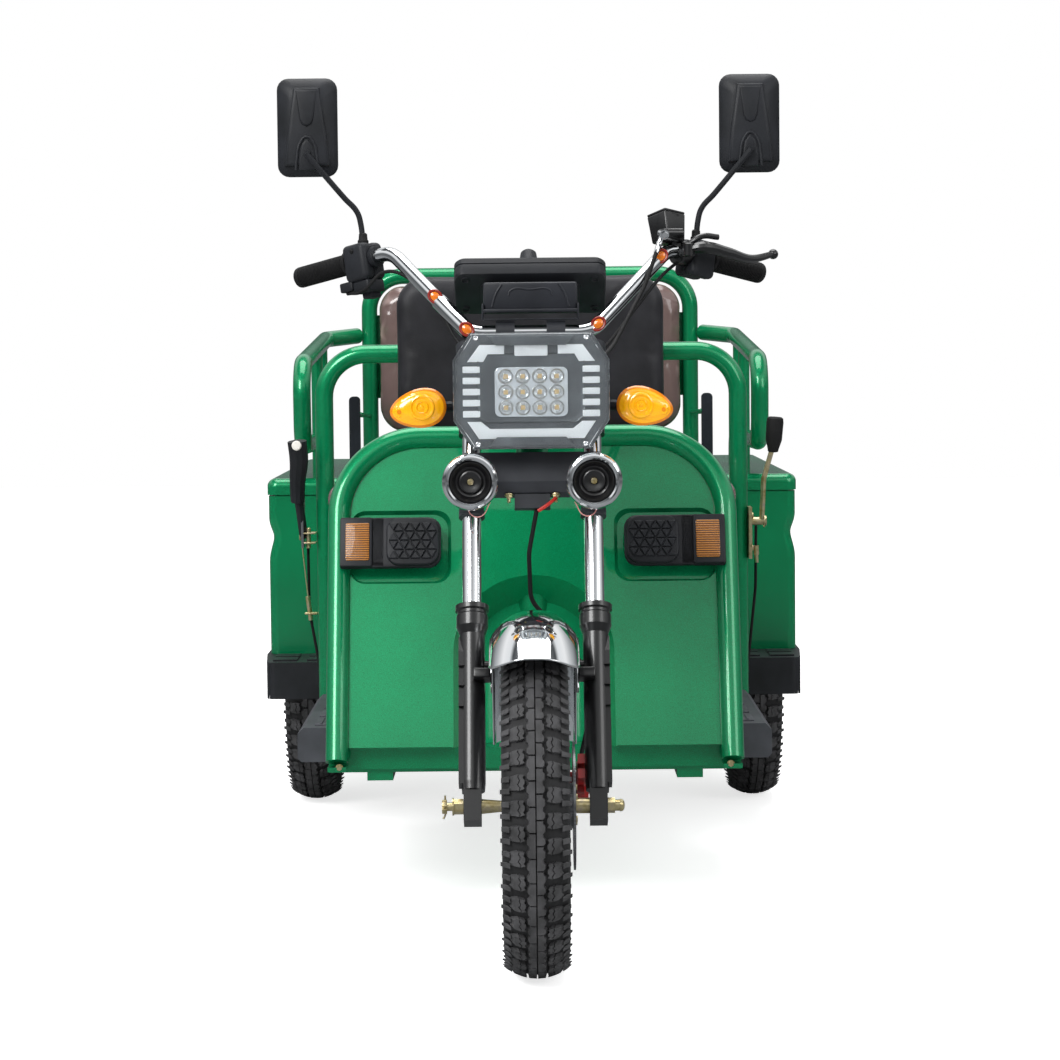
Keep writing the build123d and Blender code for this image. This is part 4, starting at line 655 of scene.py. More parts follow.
# housing: two halves with the seam between them, the core it closes on, two switches and a neck
bm = bmesh.new()
merge(bm, rounded_block((-0.0240, -0.0330, 0.1130), (-0.0007, 0.0250, 0.1590), 0.0085, 4), at_grip)
merge(bm, rounded_block((0.0007, -0.0330, 0.1130), (0.0240, 0.0250, 0.1590), 0.0085, 4), at_grip)
merge(bm, rounded_block((-0.0200, -0.0290, 0.1170), (0.0200, 0.0215, 0.1550), 0.0040), at_grip)
merge(bm, rounded_block((-0.0275, 0.0020, 0.1190), (-0.0220, 0.0130, 0.1370), 0.0020), at_grip)
merge(bm, rounded_block((-0.0275, -0.0180, 0.1300), (-0.0220, -0.0090, 0.1480), 0.0020), at_grip)
merge(bm, spun([(0.160, 0.0112), (0.160, 0.0165), (0.166, 0.0165), (0.167, 0.0150), (0.167, 0.0112)], "Z",
               32), at_grip)
piece(mirrored(bm), "switch_housings_moulded", black_pp, "steering", "black_plastic", 35, "switch_housings")
bm = bmesh.new()
bolt(bm, at_grip @ Vector((0.0238, 0.0135, 0.136)), GRIP_LEVEL, 0.0032, 0.0014, 14)
piece(mirrored(bm), "housing_screws", enamel, "steering", "black_paint")

# throttle side: a low cable box with its two lugs under the housing, on the vehicle's right
bm = rounded_block((-0.0200, -0.0520, 0.1220), (0.0180, -0.0320, 0.1560), 0.0040)
merge(bm, rounded_block((0.0020, -0.0450, 0.0960), (0.0200, -0.0300, 0.1230), 0.0030))
merge(bm, rounded_block((-0.0180, -0.0600, 0.1280), (0.0060, -0.0500, 0.1480), 0.0030))
bmesh.ops.transform(bm, matrix=Matrix.Scale(-1, 4, (1, 0, 0)) @ at_grip, verts=bm.verts)
bmesh.ops.recalc_face_normals(bm, faces=bm.faces)
piece(bm, "throttle_box", black_pp, "steering", "black_plastic")

# ---------------------------------------------------------------- brake lever and its cylinder
# Die-cast perch and curved lever in black enamel with a ball end, a tapered fluid tank under a
# screwed lid, and a bright banjo with the hose crimped into its ferrule.
PERCH = BAR_END + GRIP_WAY * 0.168
PIVOT = PERCH + Vector((0.010, -0.034, 0.004))
LEVER_TIP = BAR_END - GRIP_WAY * 0.014 + Vector((0.010, -0.052, 0.030))
TANK = PERCH + Vector((-0.022, -0.010, 0.040))
TANK_LOW = -0.0260
HOSE_TOP = PERCH + Vector((-0.030, -0.040, 0.028))


def wire(points, radius, swell=None):
    """Round rod along a smooth curve through points, its radius swelled by a factor at each."""
    curve = bpy.data.curves.new("rod", "CURVE")
    curve.dimensions = "3D"
    curve.bevel_depth = radius
    curve.bevel_resolution = 3
    curve.resolution_u = 8
    curve.use_fill_caps = True
    spline = curve.splines.new("BEZIER")
    spline.bezier_points.add(len(points) - 1)
    for knot, spot, factor in zip(spline.bezier_points, points, swell or [1.0] * len(points)):
        knot.co, knot.radius = spot, factor
        knot.handle_left_type = knot.handle_right_type = "AUTO"
    shown = bpy.data.objects.new("rod", curve)
    scene.collection.objects.link(shown)
    made = bpy.data.meshes.new_from_object(shown.evaluated_get(bpy.context.evaluated_depsgraph_get()))
    bm = bmesh.new()
    bm.from_mesh(made)
    bpy.data.meshes.remove(made)
    bpy.data.objects.remove(shown)
    bpy.data.curves.remove(curve)
    return bm


bm = spun([(-0.0100, 0.0112), (-0.0100, 0.0175), (-0.0085, 0.0190), (0.0085, 0.0190), (0.0100, 0.0175),
           (0.0100, 0.0112)], "Z", 40, placed(PERCH, GRIP_WAY, GRIP_LEVEL))
merge(bm, wire([PERCH, PERCH + Vector((0.005, -0.020, 0.002)), PIVOT], 0.0090))
merge(bm, spun([(-0.0100, 0.0), (-0.0100, 0.0085), (-0.0088, 0.0098), (0.0088, 0.0098), (0.0100, 0.0085),
                (0.0100, 0.0)], "Z", 28, Matrix.Translation(PIVOT)))
blade = wire([PIVOT, PIVOT + Vector((0.022, -0.003, 0.003)), PIVOT + Vector((0.058, 0.021, -0.004)),
              PIVOT + Vector((0.100, 0.062, -0.013)), LEVER_TIP], 0.0066, (1.0, 1.45, 1.35, 0.95, 0.75))
merge(bm, blade)
ball = bmesh.new()
bmesh.ops.create_uvsphere(ball, u_segments=20, v_segments=12, radius=0.0080)
merge(bm, ball, Matrix.Translation(LEVER_TIP))
merge(bm, wire([PIVOT + Vector((0.002, 0.004, 0.010)), PIVOT + Vector((0.020, 0.004, 0.020)),
                PIVOT + Vector((0.046, 0.014, 0.019))], 0.0045))
at_tank = Matrix.Translation(TANK)
for degrees, axis in ((-17, "X"), (-4, "Y"), (42, "Z")):
    at_tank = at_tank @ Matrix.Rotation(math.radians(degrees), 4, axis)
tank = rounded_block((-0.0185, -0.0175, TANK_LOW), (0.0185, 0.0175, 0.0178), 0.0022)
for v in tank.verts:
    v.co.x, v.co.y = v.co.x * (1 + (v.co.z - TANK_LOW) * 4.4), v.co.y * (1 + (v.co.z - TANK_LOW) * 3.6)
merge(bm, tank, at_tank)
merge(bm, rounded_block((-0.0214, -0.0198, 0.0176), (0.0214, 0.0198, 0.0215), 0.0012), at_tank)
merge(bm, wire([PERCH + Vector((-0.004, -0.004, 0.006)), TANK + Vector((0.004, 0.002, -0.016))], 0.0095))
merge(bm, spun([(-0.0170, 0.0), (-0.0170, 0.0075), (0.0150, 0.0075), (0.0150, 0.0)], "Z", 24,
               placed(HOSE_TOP + Vector((0.016, 0.010, 0.002)), (1, 0.4, 0))))
piece(bm, "brake_lever_cast", enamel, "steering", "black_plastic", 35, "brake_lever")

# bright banjo with its bolt, the hose's ferrule, the pivot's bolts and the lid's four screws
bm = spun([(-0.0070, 0.0), (-0.0070, 0.0062), (-0.0060, 0.0070), (0.0060, 0.0070), (0.0070, 0.0062),
           (0.0070, 0.0)], "Z", 24, placed(HOSE_TOP, (-0.25, 1, 0.2)))
bolt(bm, HOSE_TOP + Vector((0.0018, -0.0068, -0.0014)), (0.25, -1, -0.2), 0.0056, 0.0050)
hose_way = Vector((0.174, -0.648, 0.974)) - HOSE_TOP
merge(bm, spun([(0.004, 0.0044), (0.014, 0.0040), (0.0155, 0.0049), (0.020, 0.0049), (0.021, 0.0043),
                (0.034, 0.0043), (0.034, 0.0034)], "Z", 20, placed(HOSE_TOP, hose_way)))
bolt(bm, PIVOT + Vector((0, 0, 0.0098)), (0, 0, 1), 0.0052, 0.0045)
bolt(bm, PIVOT - Vector((0, 0, 0.0098)), (0, 0, -1), 0.0052, 0.0045)
for x, y in ((-0.016, -0.014), (0.016, -0.014), (-0.016, 0.014), (0.016, 0.014)):
    bolt(bm, at_tank @ Vector((x, y, 0.0213)), at_tank.to_3x3() @ Vector((0, 0, 1)), 0.0024, 0.0012, 12)
piece(bm, "brake_fittings", chrome, "steering", "chrome")

# ---------------------------------------------------------------- mirrors
# Black moulded shells drawn back in facets, with a long tongue pressed into the back, an arched
# socket for the stem, and a silvered glass set into the rider's side.
MIRROR_MID = Vector((0.341, -0.5474, 1.224))
MIRROR_SIZE = (0.093, 0.151)


def stacked(rings):
    """Closed skin through outlines with the same number of points, each at its own depth."""
    bm = bmesh.new()
    loops = []
    for outline, depth in rings:
        verts = [bm.verts.new((x, depth, z)) for x, z in outline]
        loops.append([bm.edges.new(pair) for pair in zip(verts, verts[1:] + verts[:1])])
    for near, far in zip(loops, loops[1:]):
        bmesh.ops.bridge_loops(bm, edges=near + far)
    for end in (loops[0], loops[-1]):
        bmesh.ops.contextual_create(bm, geom=end)
    bmesh.ops.recalc_face_normals(bm, faces=bm.faces)
    return bm


# shell in facets, with the pressed ridge, the tongue, and the arch over the stem's ball
w, h = MIRROR_SIZE
facets = ((0.006, 0.006, 0.0150, 0.0), (0.0015, 0.0015, 0.0175, 0.0004), (0, 0, 0.0177, -0.0020),
          (0, 0, 0.0177, -0.0085), (0.003, 0.003, 0.0170, -0.0120), (0.012, 0.010, 0.0170, -0.0170),
          (0.03348, 0.0302, 0.0150, -0.0265), (0.0465, 0.05134, 0.0120, -0.0300))
shell = stacked([(rounded(w - less, h - lower, corner), y) for less, lower, corner, y in facets])
ridge = [(-0.0200, 0.0600), (0.0200, 0.0600), (0.0300, -0.0100), (0.0345, -0.0600), (-0.0345, -0.0600),
         (-0.0300, -0.0100)]
merge(shell, plate(ridge, 0.014, 0.0060, 3), Matrix.Translation((0, -0.0335, 0)))
tongue = [(-0.0170, 0.0560), (0.0170, 0.0560), (0.0105, 0.0120), (0.0070, 0.0040), (0.0, 0.0008),
          (-0.0070, 0.0040), (-0.0105, 0.0120)]
merge(shell, plate(tongue, 0.010, 0.0030, 3),
      Matrix.Translation((0, -0.0372, 0)) @ Matrix.Rotation(math.radians(-3), 4, "X"))
arch = [(-0.0170, -0.0660), (-0.0155, -0.0480), (-0.0105, -0.0250), (0.0, -0.0150), (0.0105, -0.0250),
        (0.0155, -0.0480), (0.0170, -0.0660)]
merge(shell, plate([(x * 0.80, z * 0.97 - 0.003) for x, z in arch], 0.012, 0.003, 3),
      Matrix.Translation((0, -0.0368, 0)) @ Matrix.Rotation(math.radians(3), 4, "X"))
merge(shell, wire([(x, -0.0342, z) for x, z in arch], 0.0024))
merge(shell, spun([(-0.0385, 0.0), (-0.0385, 0.0052), (-0.0300, 0.0060)], "Y", 20),
      Matrix.Translation((0, 0, -0.040)))
bmesh.ops.transform(shell, matrix=Matrix.Translation(MIRROR_MID) @ Matrix.Diagonal((1, 0.86, 1, 1)),
                    verts=shell.verts)
piece(mirrored(shell), "mirror_shells", black_pp, "steering", "black_plastic", 28, "mirror_heads")

# silvered glass, the bent stem, and its rubber boot and nut on the housing
bm = plate(rounded(w - 0.010, h - 0.010, 0.0140), 0.0012)
bmesh.ops.transform(bm, matrix=Matrix.Translation(MIRROR_MID + Vector((0, 0.0002, 0))), verts=bm.verts)
piece(mirrored(bm), "mirror_glasses", chrome, "steering", "chrome")
stem = wire([(0.2580, -0.5515, 1.0430), (0.2610, -0.5515, 1.0760), (0.2665, -0.5535, 1.0940),
             (0.2850, -0.5620, 1.1150), (0.3420, -0.5860, 1.1830)], 0.0045)
piece(mirrored(stem), "mirror_stems_bent", black_pp, "steering", "black_plastic", 35, "mirror_stems")
foot = BAR_END + GRIP_WAY * 0.136 + Vector((0, 0, 0.024))
bm = spun([(-0.006, 0.0), (-0.006, 0.0085), (0.006, 0.0085), (0.008, 0.0070), (0.016, 0.0064),
           (0.018, 0.0046)], "Z", 24, Matrix.Translation(foot))
bolt(bm, foot + Vector((0, 0, 0.016)), (0, 0, 1), 0.0066, 0.0070)
piece(mirrored(bm), "mirror_feet", soft_rubber, "steering", "grip_rubber")

# ---------------------------------------------------------------- instrument pod
# Moulded black pod in two halves with a seam and four screw wells below, the key switch on its
# rider's face, on a folded steel bracket with pressed stiffeners. The bracket and the fork's
# clamps are powder coated: a satin black with a 2.4 mm peel.
at_pod = Matrix.Translation((0, -0.640, 0.963)) @ Matrix.Rotation(math.radians(-40), 4, "X")
lay_flat = at_pod @ Matrix.Rotation(math.radians(90), 4, "X")
w, h = 0.230, 0.096
halves = ((0.010, 0.012, 0.0), (0.003, 0.015, 0.0012), (0, 0.016, 0.004), (0, 0.016, 0.0195),
          (0.003, 0.015, 0.0200), (0.003, 0.015, 0.0212), (0, 0.016, 0.0217), (0, 0.016, 0.030),
          (0.004, 0.015, 0.0330), (0.012, 0.012, 0.0340))
pod = stacked([(rounded(w - less, h - less, corner, 8), y) for less, corner, y in halves])
for x in (-0.098, 0.098):
    for z in (-0.034, 0.034):
        well = spun([(0.0004, 0.0062), (-0.0010, 0.0062), (-0.0016, 0.0054), (-0.0010, 0.0044),
                     (0.0006, 0.0042)], "Y", 20)
        merge(pod, well, Matrix.Translation((x, 0, z)))
merge(pod, plate(rounded(0.150, 0.052, 0.008), 0.006, 0.001), Matrix.Translation((0, -0.0025, 0)))
bmesh.ops.transform(pod, matrix=lay_flat, verts=pod.verts)
merge(pod, spun([(0.030, 0.0), (0.030, 0.0145), (0.040, 0.0140), (0.054, 0.0122), (0.0565, 0.0100),
                 (0.0570, 0.0)], "Z", 28), at_pod @ Matrix.Translation((-0.002, -0.030, 0)))
piece(pod, "pod_moulded", black_pp, "steering", "black_plastic", 30, "dash_pod")

# bracket: boxed plate with a lipped foot, side cheeks and the lines pressed into its face
bm = rounded_block((-0.0705, -0.7100, 0.9360), (0.0705, -0.6500, 0.9800), 0.0035)
merge(bm, rounded_block((-0.0730, -0.7160, 0.9345), (0.0730, -0.7060, 0.9400), 0.0018))
merge(bm, rounded_block((-0.0730, -0.7160, 0.9233), (0.0730, -0.7140, 0.9255), 0.0008))
for side in (-1, 1):
    x, y = side * 0.0715, -0.7095
    merge(bm, rounded_block((x - 0.0015, -0.7160, 0.9233), (x + 0.0015, -0.6600, 0.9480), 0.0010))
    merge(bm, wire([(side * 0.058, y, 0.9430), (side * 0.052, y, 0.9620), (side * 0.043, y, 0.9770)], 0.0022))
    merge(bm, wire([(side * 0.033, y, 0.9600), (side * 0.029, y, 0.9680), (0, y, 0.9690)], 0.0018))
slate = grained("powder_coated_slate_steel", "#1f2126", "#2a2c32", 0.40, 420.0, 0.2)
piece(bm, "pod_bracket", slate, "steering", "black_paint")
satin = grained("satin_black_powder_coat", "#282a2e", "#323439", 0.42, 420.0, 0.2)
coat(satin, "steering_stem")

# ---------------------------------------------------------------- bar reflectors and cable bunch
# Small amber reflectors in dark red rims, a chromed sleeve on the right arm, and the black
# rubber-sheathed leads that run beside both arms to the lamp.
ARM_LOW = Vector((0.092, -0.700, 0.905))
BAR_R = 0.0111
SLEEVE_R = 0.0128
bm, rims = bmesh.new(), bmesh.new()
for side, along in ((-1, 0.03), (-1, 0.43), (1, 0.08), (1, 0.90)):
    spot = ARM_LOW.lerp(BAR_SHOULDER, along)
    out = placed(spot, (0, -1, 0.12), (1, 0, 1.05)) @ Matrix.Diagonal((1.12, 0.92, 1.0, 1.0))
    turn = Matrix.Scale(-1, 4, (1, 0, 0)) if side < 0 else Matrix.Identity(4)
    merge(bm, spun([(0.0110, 0.0082), (0.0150, 0.0070), (0.0165, 0.0040), (0.0168, 0.0)], "Z", 28),
          turn @ out)
    merge(rims, spun([(0.0100, 0.0070), (0.0100, 0.0112), (0.0140, 0.0114), (0.0152, 0.0100),
                      (0.0145, 0.0078)], "Z", 28), turn @ out)
sleeve = spun([(0.002, BAR_R), (0.002, SLEEVE_R), (0.078, SLEEVE_R), (0.080, 0.0122), (0.080, BAR_R)], "Z",
              36, Matrix.Scale(-1, 4, (1, 0, 0)) @ placed(ARM_LOW, BAR_SHOULDER - ARM_LOW))
for part in (bm, rims, sleeve):
    bmesh.ops.recalc_face_normals(part, faces=part.faces)
reflex = material("faceted_amber_reflex_acrylic", Base_Color=linear("#dd7410"), Roughness=0.2,
                  Coat_Weight=0.8)[0]
rim_red = material("moulded_dark_red_abs", Base_Color=linear("#8a2114"), Roughness=0.34)[0]
piece(bm, "bar_reflectors", reflex, "steering", "amber_lens")
piece(rims, "bar_reflector_rims", rim_red, "steering", "red_paint")
piece(sleeve, "bar_sleeve", chrome, "steering", "chrome")
bm = bmesh.new()
for lift, start in ((0.000, 0.010), (0.007, -0.004), (-0.006, 0.004)):
    run = [BAR_SHOULDER + Vector((0.014, 0.012 + start, -0.020)),
           ARM_LOW.lerp(BAR_SHOULDER, 0.75) + Vector((0.017, lift, -0.012)),
           ARM_LOW.lerp(BAR_SHOULDER, 0.35) + Vector((0.020, lift, -0.016)),
           ARM_LOW + Vector((0.012, -0.030, -0.030)), Vector((0.070, -0.780, 0.850))]
    merge(bm, wire(run, 0.0026))
run = [(-0.283, -0.545, 0.968), (-0.256, -0.583, 0.972), (-0.222, -0.602, 1.000), (-0.180, -0.625, 0.986),
       (-0.140, -0.662, 0.942), (-0.108, -0.704, 0.890), (-0.070, -0.780, 0.855)]
merge(bm, wire(run, 0.0028))
piece(bm, "bar_leads", soft_rubber, "steering", "grip_rubber")

# ---------------------------------------------------------------- turn signals
# Egg-shaped lamps: a black shell behind an amber acrylic lens with a ring of relief over the
# bulb, a small screw at the outer end, and a deeper orange edge where the lens is thickest.
SIGNAL_MID = Vector((0.165, -0.840, 0.795))
EGG_HALF = (0.0405, 0.0275)

amber, tree, shader = material("moulded_amber_acrylic", Base_Color=linear("#fbb00a"), Roughness=0.14,
                               Coat_Weight=0.9, Subsurface_Weight=0.25)
shader.inputs["Subsurface Radius"].default_value = (0.010, 0.005, 0.001)
coat(amber, "turn_signals")


def egg(inset):
    """Egg outline as (x, z), blunt towards the lamp and pointed outwards, tipped down outwards."""
    points = []
    for k in range(40):
        a = math.tau * k / 40
        x = (EGG_HALF[0] - inset) * math.cos(a)
        z = (EGG_HALF[1] - inset) * math.sin(a) * (1 - 0.20 * math.cos(a))
        points.append((x + z * 0.16, z - x * 0.16))
    return points


domed = ((0.0012, 0.0010), (0.0, -0.0010), (0.0, -0.0060), (0.0016, -0.0090), (0.0045, -0.0112),
         (0.0060, -0.0114), (0.0085, -0.0132), (0.0125, -0.0150), (0.0180, -0.0163))
lens = stacked([(egg(inset), y) for inset, y in domed])
ring = [(-0.0150, 0.0190), (-0.0176, 0.0178), (-0.0184, 0.0160), (-0.0168, 0.0140), (-0.0150, 0.0120),
        (-0.0168, 0.0100), (-0.0180, 0.0082), (-0.0160, 0.0060), (-0.0156, 0.0030), (-0.0180, 0.0018),
        (-0.0184, 0.0)]
merge(lens, spun(ring, "Y", 36), Matrix.Translation((-0.006, 0, 0.002)))
boss = spun([(-0.0120, 0.0060), (-0.0150, 0.0054), (-0.0156, 0.0040), (-0.0148, 0.0)], "Y", 20)
merge(lens, boss, Matrix.Translation((0.0270, 0, -0.0045)) @ Matrix.Diagonal((1.0, 1.0, 1.35, 1.0)))
bmesh.ops.transform(lens, matrix=Matrix.Translation(SIGNAL_MID), verts=lens.verts)
piece(mirrored(lens), "signal_lenses", amber, "steering", "amber_lens", 30, "turn_signals")
bm = stacked([(egg(0.0004), 0.0006), (egg(-0.0004), 0.0024), (egg(0.0010), 0.0060), (egg(0.0065), 0.0120),
              (egg(0.0120), 0.0148)])
bmesh.ops.transform(bm, matrix=Matrix.Translation(SIGNAL_MID), verts=bm.verts)
merge(bm, wire([SIGNAL_MID + Vector((-0.024, 0.008, 0.0)), Vector((0.118, -0.815, 0.797))], 0.0082))
piece(mirrored(bm), "signal_shells", black_pp, "steering", "black_plastic", 30)
thick_amber = material("thick_edged_amber_acrylic", Base_Color=linear("#dc7f0c"), Roughness=0.18,
                       Coat_Weight=0.8)[0]
bm = stacked([(egg(0.0022), -0.0056), (egg(-0.0003), -0.0052), (egg(-0.0005), -0.0066),
              (egg(0.0014), -0.0090), (egg(0.0034), -0.0104)])
bmesh.ops.delete(bm, geom=[f for f in bm.faces if len(f.verts) > 4], context="FACES_ONLY")
bmesh.ops.transform(bm, matrix=Matrix.Translation(SIGNAL_MID), verts=bm.verts)
merge(bm, spun([(-0.0150, 0.0036), (-0.0160, 0.0030), (-0.0162, 0.0)], "Y", 16),
      Matrix.Translation(SIGNAL_MID + Vector((0.0270, 0, -0.0045))))
piece(mirrored(bm), "signal_rims", thick_amber, "steering", "amber_lens")

# ---------------------------------------------------------------- shield pads
# Black moulded pads over the shield's side tube: a raised inner half with rows of pressed
# triangles, and at the outer end a ridged amber reflector set in its own frame.
HOOP_FOOT = Vector((0, -0.641, 0.250))
SHIELD_UP = Vector((0, 0.191, 0.491)).normalized()
PAD_MID = (0.222, 0.345)
TRIANGLE = 0.0172
TILE_MID_X = -0.0348
at_shield = Matrix.Translation(HOOP_FOOT) @ Matrix(
    (Vector((1, 0, 0)), SHIELD_UP.cross(Vector((1, 0, 0))), SHIELD_UP)).transposed().to_4x4()
at_pad = at_shield @ Matrix.Translation((PAD_MID[0], -0.0178, PAD_MID[1]))

bm = plate(rounded(0.120, 0.082, 0.020), 0.008, 0.0025, 3)
bmesh.ops.translate(bm, vec=(-0.019, -0.008, 0), verts=bm.verts)
merge(bm, plate(rounded(0.070, 0.082, 0.004), 0.008, 0.0020), Matrix.Translation((0.044, -0.008, 0)))
merge(bm, plate(rounded(0.082, 0.078, 0.021, 8), 0.007, 0.0030, 3),
      Matrix.Translation((TILE_MID_X, -0.014, 0)))
merge(bm, plate(rounded(0.050, 0.080, 0.003), 0.006, 0.0015), Matrix.Translation((0.0535, -0.0122, 0)))
merge(bm, plate(rounded(0.062, 0.058, 0.008), 0.032, 0.0), Matrix.Translation((-0.034, -0.001, 0)))
for row in range(4):
    for col in range(8):
        flip = 1 if (row + col) % 2 else -1
        mid = Matrix.Translation((TILE_MID_X + (col - 3.5) * TRIANGLE / 2, -0.0168,
                                  (row - 1.5) * TRIANGLE * 0.866))
        half, low, high = TRIANGLE * 0.42, -TRIANGLE * 0.387 * flip, TRIANGLE * 0.340 * flip
        merge(bm, plate([(-half, low), (half, low), (0, high)], 0.0040, 0.0010, 1), mid)
bmesh.ops.transform(bm, matrix=at_pad, verts=bm.verts)
bmesh.ops.recalc_face_normals(bm, faces=bm.faces)
piece(mirrored(bm), "shield_pads_moulded", black_pp, "root", "black_plastic", 35, "shield_pads")

# reflector: amber acrylic with a ridge every 3.4 mm; its colour holds painted shade in the furrows and a
# painted highlight on the crests
ridged, tree, shader = material("ridged_amber_reflector", Roughness=0.34, Coat_Weight=0.25)
place = add(tree, "ShaderNodeTexCoord")
ridges_and_shade = add(tree, "ShaderNodeTexWave", {"Vector": (place, "Object")}, {"Scale": 92.0, "Distortion": 0.0},
             wave_type="BANDS", bands_direction="Z")
tint = ramp(tree, (ridges_and_shade, "Fac"), [(0.1, "#4a2603"), (0.6, "#8f500a"), (1.0, "#bd7d22")])
bump = add(tree, "ShaderNodeBump", {"Height": (ridges_and_shade, "Fac")}, {"Strength": 0.6, "Distance": 0.0006})
tree.links.new(tint.outputs["Color"], shader.inputs["Base Color"])
tree.links.new(bump.outputs[0], shader.inputs["Normal"])
bm = plate(rounded(0.037, 0.061, 0.003), 0.003, 0.0008)
bmesh.ops.transform(bm, matrix=at_pad @ Matrix.Translation((0.0515, -0.0136, 0)), verts=bm.verts)
piece(mirrored(bm), "pad_reflectors", ridged, "root", "amber_lens")

# ---------------------------------------------------------------- crossbar fittings
# Brass-coloured bolts and a short red connector under the boxed bar, the horns' mounting tabs
# with their thin pink leads, and the coloured loom between lamp and bar.
RAKE = -25
at_fork = Matrix.Translation((0, FRONT_HUB_Y, TYRE_R)) @ Matrix.Rotation(math.radians(RAKE), 4, "X")
FORK_UP = at_fork.to_3x3() @ Vector((0, 0, 1))
BAR_LOW = 0.460
bm = bmesh.new()
for x in (-0.034, 0.034):
    spot = at_fork @ Vector((x, -0.026, BAR_LOW + 0.001))
    bolt(bm, spot, -FORK_UP, 0.0046, 0.0050)
    merge(bm, spun([(0.0, 0.0026), (0.0110, 0.0026), (0.0118, 0.0018), (0.0118, 0.0)], "Z", 16),
          placed(spot, -FORK_UP))
piece(bm, "crossbar_bolts", brass, "steering", "zinc")
bm = bmesh.new()
for x in (-HORN_MID.x, HORN_MID.x):
    merge(bm, rounded_block((x - 0.021, -0.0245, BAR_LOW - 0.004), (x + 0.021, -0.0215, BAR_LOW + 0.020),
                            0.0010), at_fork)
    merge(bm, rounded_block((x - 0.020, -0.0250, BAR_LOW - 0.008), (x + 0.020, -0.0050, BAR_LOW - 0.004),
                            0.0010), at_fork)
piece(bm, "horn_tabs", enamel, "steering", "black_paint")

# wires: soft vinyl extruded in plain colours, with a dull sheen
wires = {"pink": "#c98a86", "red": "#b3261c", "blue": "#2a3f8f", "white": "#d9d6cf"}
sheath = {key: material("extruded_" + key + "_wire_sheath", Base_Color=linear(code), Roughness=0.42)[0]
          for key, code in wires.items()}
for side, name in ((-1, "right"), (1, "left")):
    x, y, z = side * HORN_MID.x, -0.885, 0.652
    run = [(x + side * 0.004, y, z + 0.008), (x, y - 0.010, z - 0.009),
           (x - side * 0.014, y - 0.014, z - 0.012), (x - side * 0.028, y - 0.008, z + 0.008)]
    piece(wire(run, 0.0008), "horn_lead_" + name, sheath["pink"], "steering", "grip_rubber")
for key, x, bow in (("red", 0.020, 0.016), ("red", 0.044, -0.012), ("blue", -0.040, 0.014),
                    ("white", -0.052, -0.006), ("red", -0.020, -0.014), ("pink", 0.056, 0.008),
                    ("red", -0.034, 0.010)):
    run = [(x, -0.836, 0.766), (x + bow, -0.858, 0.7505 + bow * 0.2), (x - bow * 0.8, -0.862, 0.744),
           (x - bow * 1.6, -0.850, 0.738)]
    name = "loom_" + key + "_" + str(round(abs(x) * 1000))
    piece(wire(run, 0.0012), name, sheath[key], "steering", "grip_rubber")
bm = rounded_block((0.014, -0.866, 0.738), (0.034, -0.856, 0.750), 0.0020)
piece(bm, "loom_connector_white", sheath["white"], "steering", "grip_rubber")
plug = [at_fork @ Vector((0.034, -0.030, BAR_LOW - 0.006)),
        at_fork @ Vector((0.022, -0.034, BAR_LOW - 0.018)),
        at_fork @ Vector((0.008, -0.030, BAR_LOW - 0.026))]
piece(wire(plug, 0.0026), "crossbar_plug", sheath["red"], "steering", "grip_rubber")

# ---------------------------------------------------------------- front axle fittings
# Zinc-plated castle nut with its cotter pin on one side and a domed cap on the other, bright
# caliper bolts, and black pinch bolts through the fork's two clamps and the bar's clamp.
at_axle = Matrix.Translation((0, FRONT_HUB_Y, TYRE_R))
bm = bmesh.new()
for k in range(6):
    turned = at_axle @ Matrix.Translation((-0.1275, 0, 0)) @ Matrix.Rotation(math.tau * k / 6, 4, "X")
    merge(bm, rounded_block((-0.0040, -0.0030, 0.0062), (0.0030, 0.0030, 0.0098), 0.0006), turned)
merge(bm, wire([(-0.1270, 0, 0.0160), (-0.1270, 0, 0), (-0.1270, 0, -0.0110), (-0.1300, 0, -0.0170)], 0.0014),
      at_axle)
merge(bm, spun([(-0.1170, 0.0125), (-0.1150, 0.0125), (-0.1145, 0.0118)], "X", 28), at_axle)
merge(bm, spun([(0.1185, 0.0092), (0.1225, 0.0080), (0.1245, 0.0050), (0.1250, 0.0)], "X", 24), at_axle)
piece(bm, "axle_castle_nut", brass, "steering", "zinc")
bm = bmesh.new()
for up in (0.047, 0.069):
    bolt(bm, at_fork @ Vector((0.0735, 0.030, up)), at_fork.to_3x3() @ Vector((1, 0, 0)), 0.0055, 0.0050)
bolt(bm, at_fork @ Vector((0.076, 0.078, 0.048)), at_fork.to_3x3() @ Vector((1, 0, 0)), 0.0060, 0.0060)
piece(bm, "caliper_bolts", chrome, "steering", "chrome")
bm = bmesh.new()
for side in (-1, 1):
    for up in (0.5095, 0.7010):
        bolt(bm, at_fork @ Vector((side * 0.0885, -0.0232, up)), at_fork.to_3x3() @ Vector((0, -1, 0)),
             0.0050, 0.0045)
for x in (-0.030, 0.030):
    for y in (-0.006, 0.030):
        bolt(bm, (x, ARM_LOW.y - 0.012 + y, 0.924), (0, 0, 1), 0.0035, 0.0035)
piece(bm, "clamp_bolts", enamel, "steering", "black_paint")

# ---------------------------------------------------------------- disc and hub bolts
# Small bolts on the front disc's carrier, and on the rear wheels a ring of nuts round a pressed
# dust cap, all plated in yellow zinc.
DISC_BOLT_RING = 0.026
WHEEL_NUT_RING = 0.052


def ring_of(count, radius):
    """Points (y, z) of a bolt circle round the wheel's axis."""
    return [(radius * math.cos(math.tau * k / count), radius * math.sin(math.tau * k / count))
            for k in range(count)]


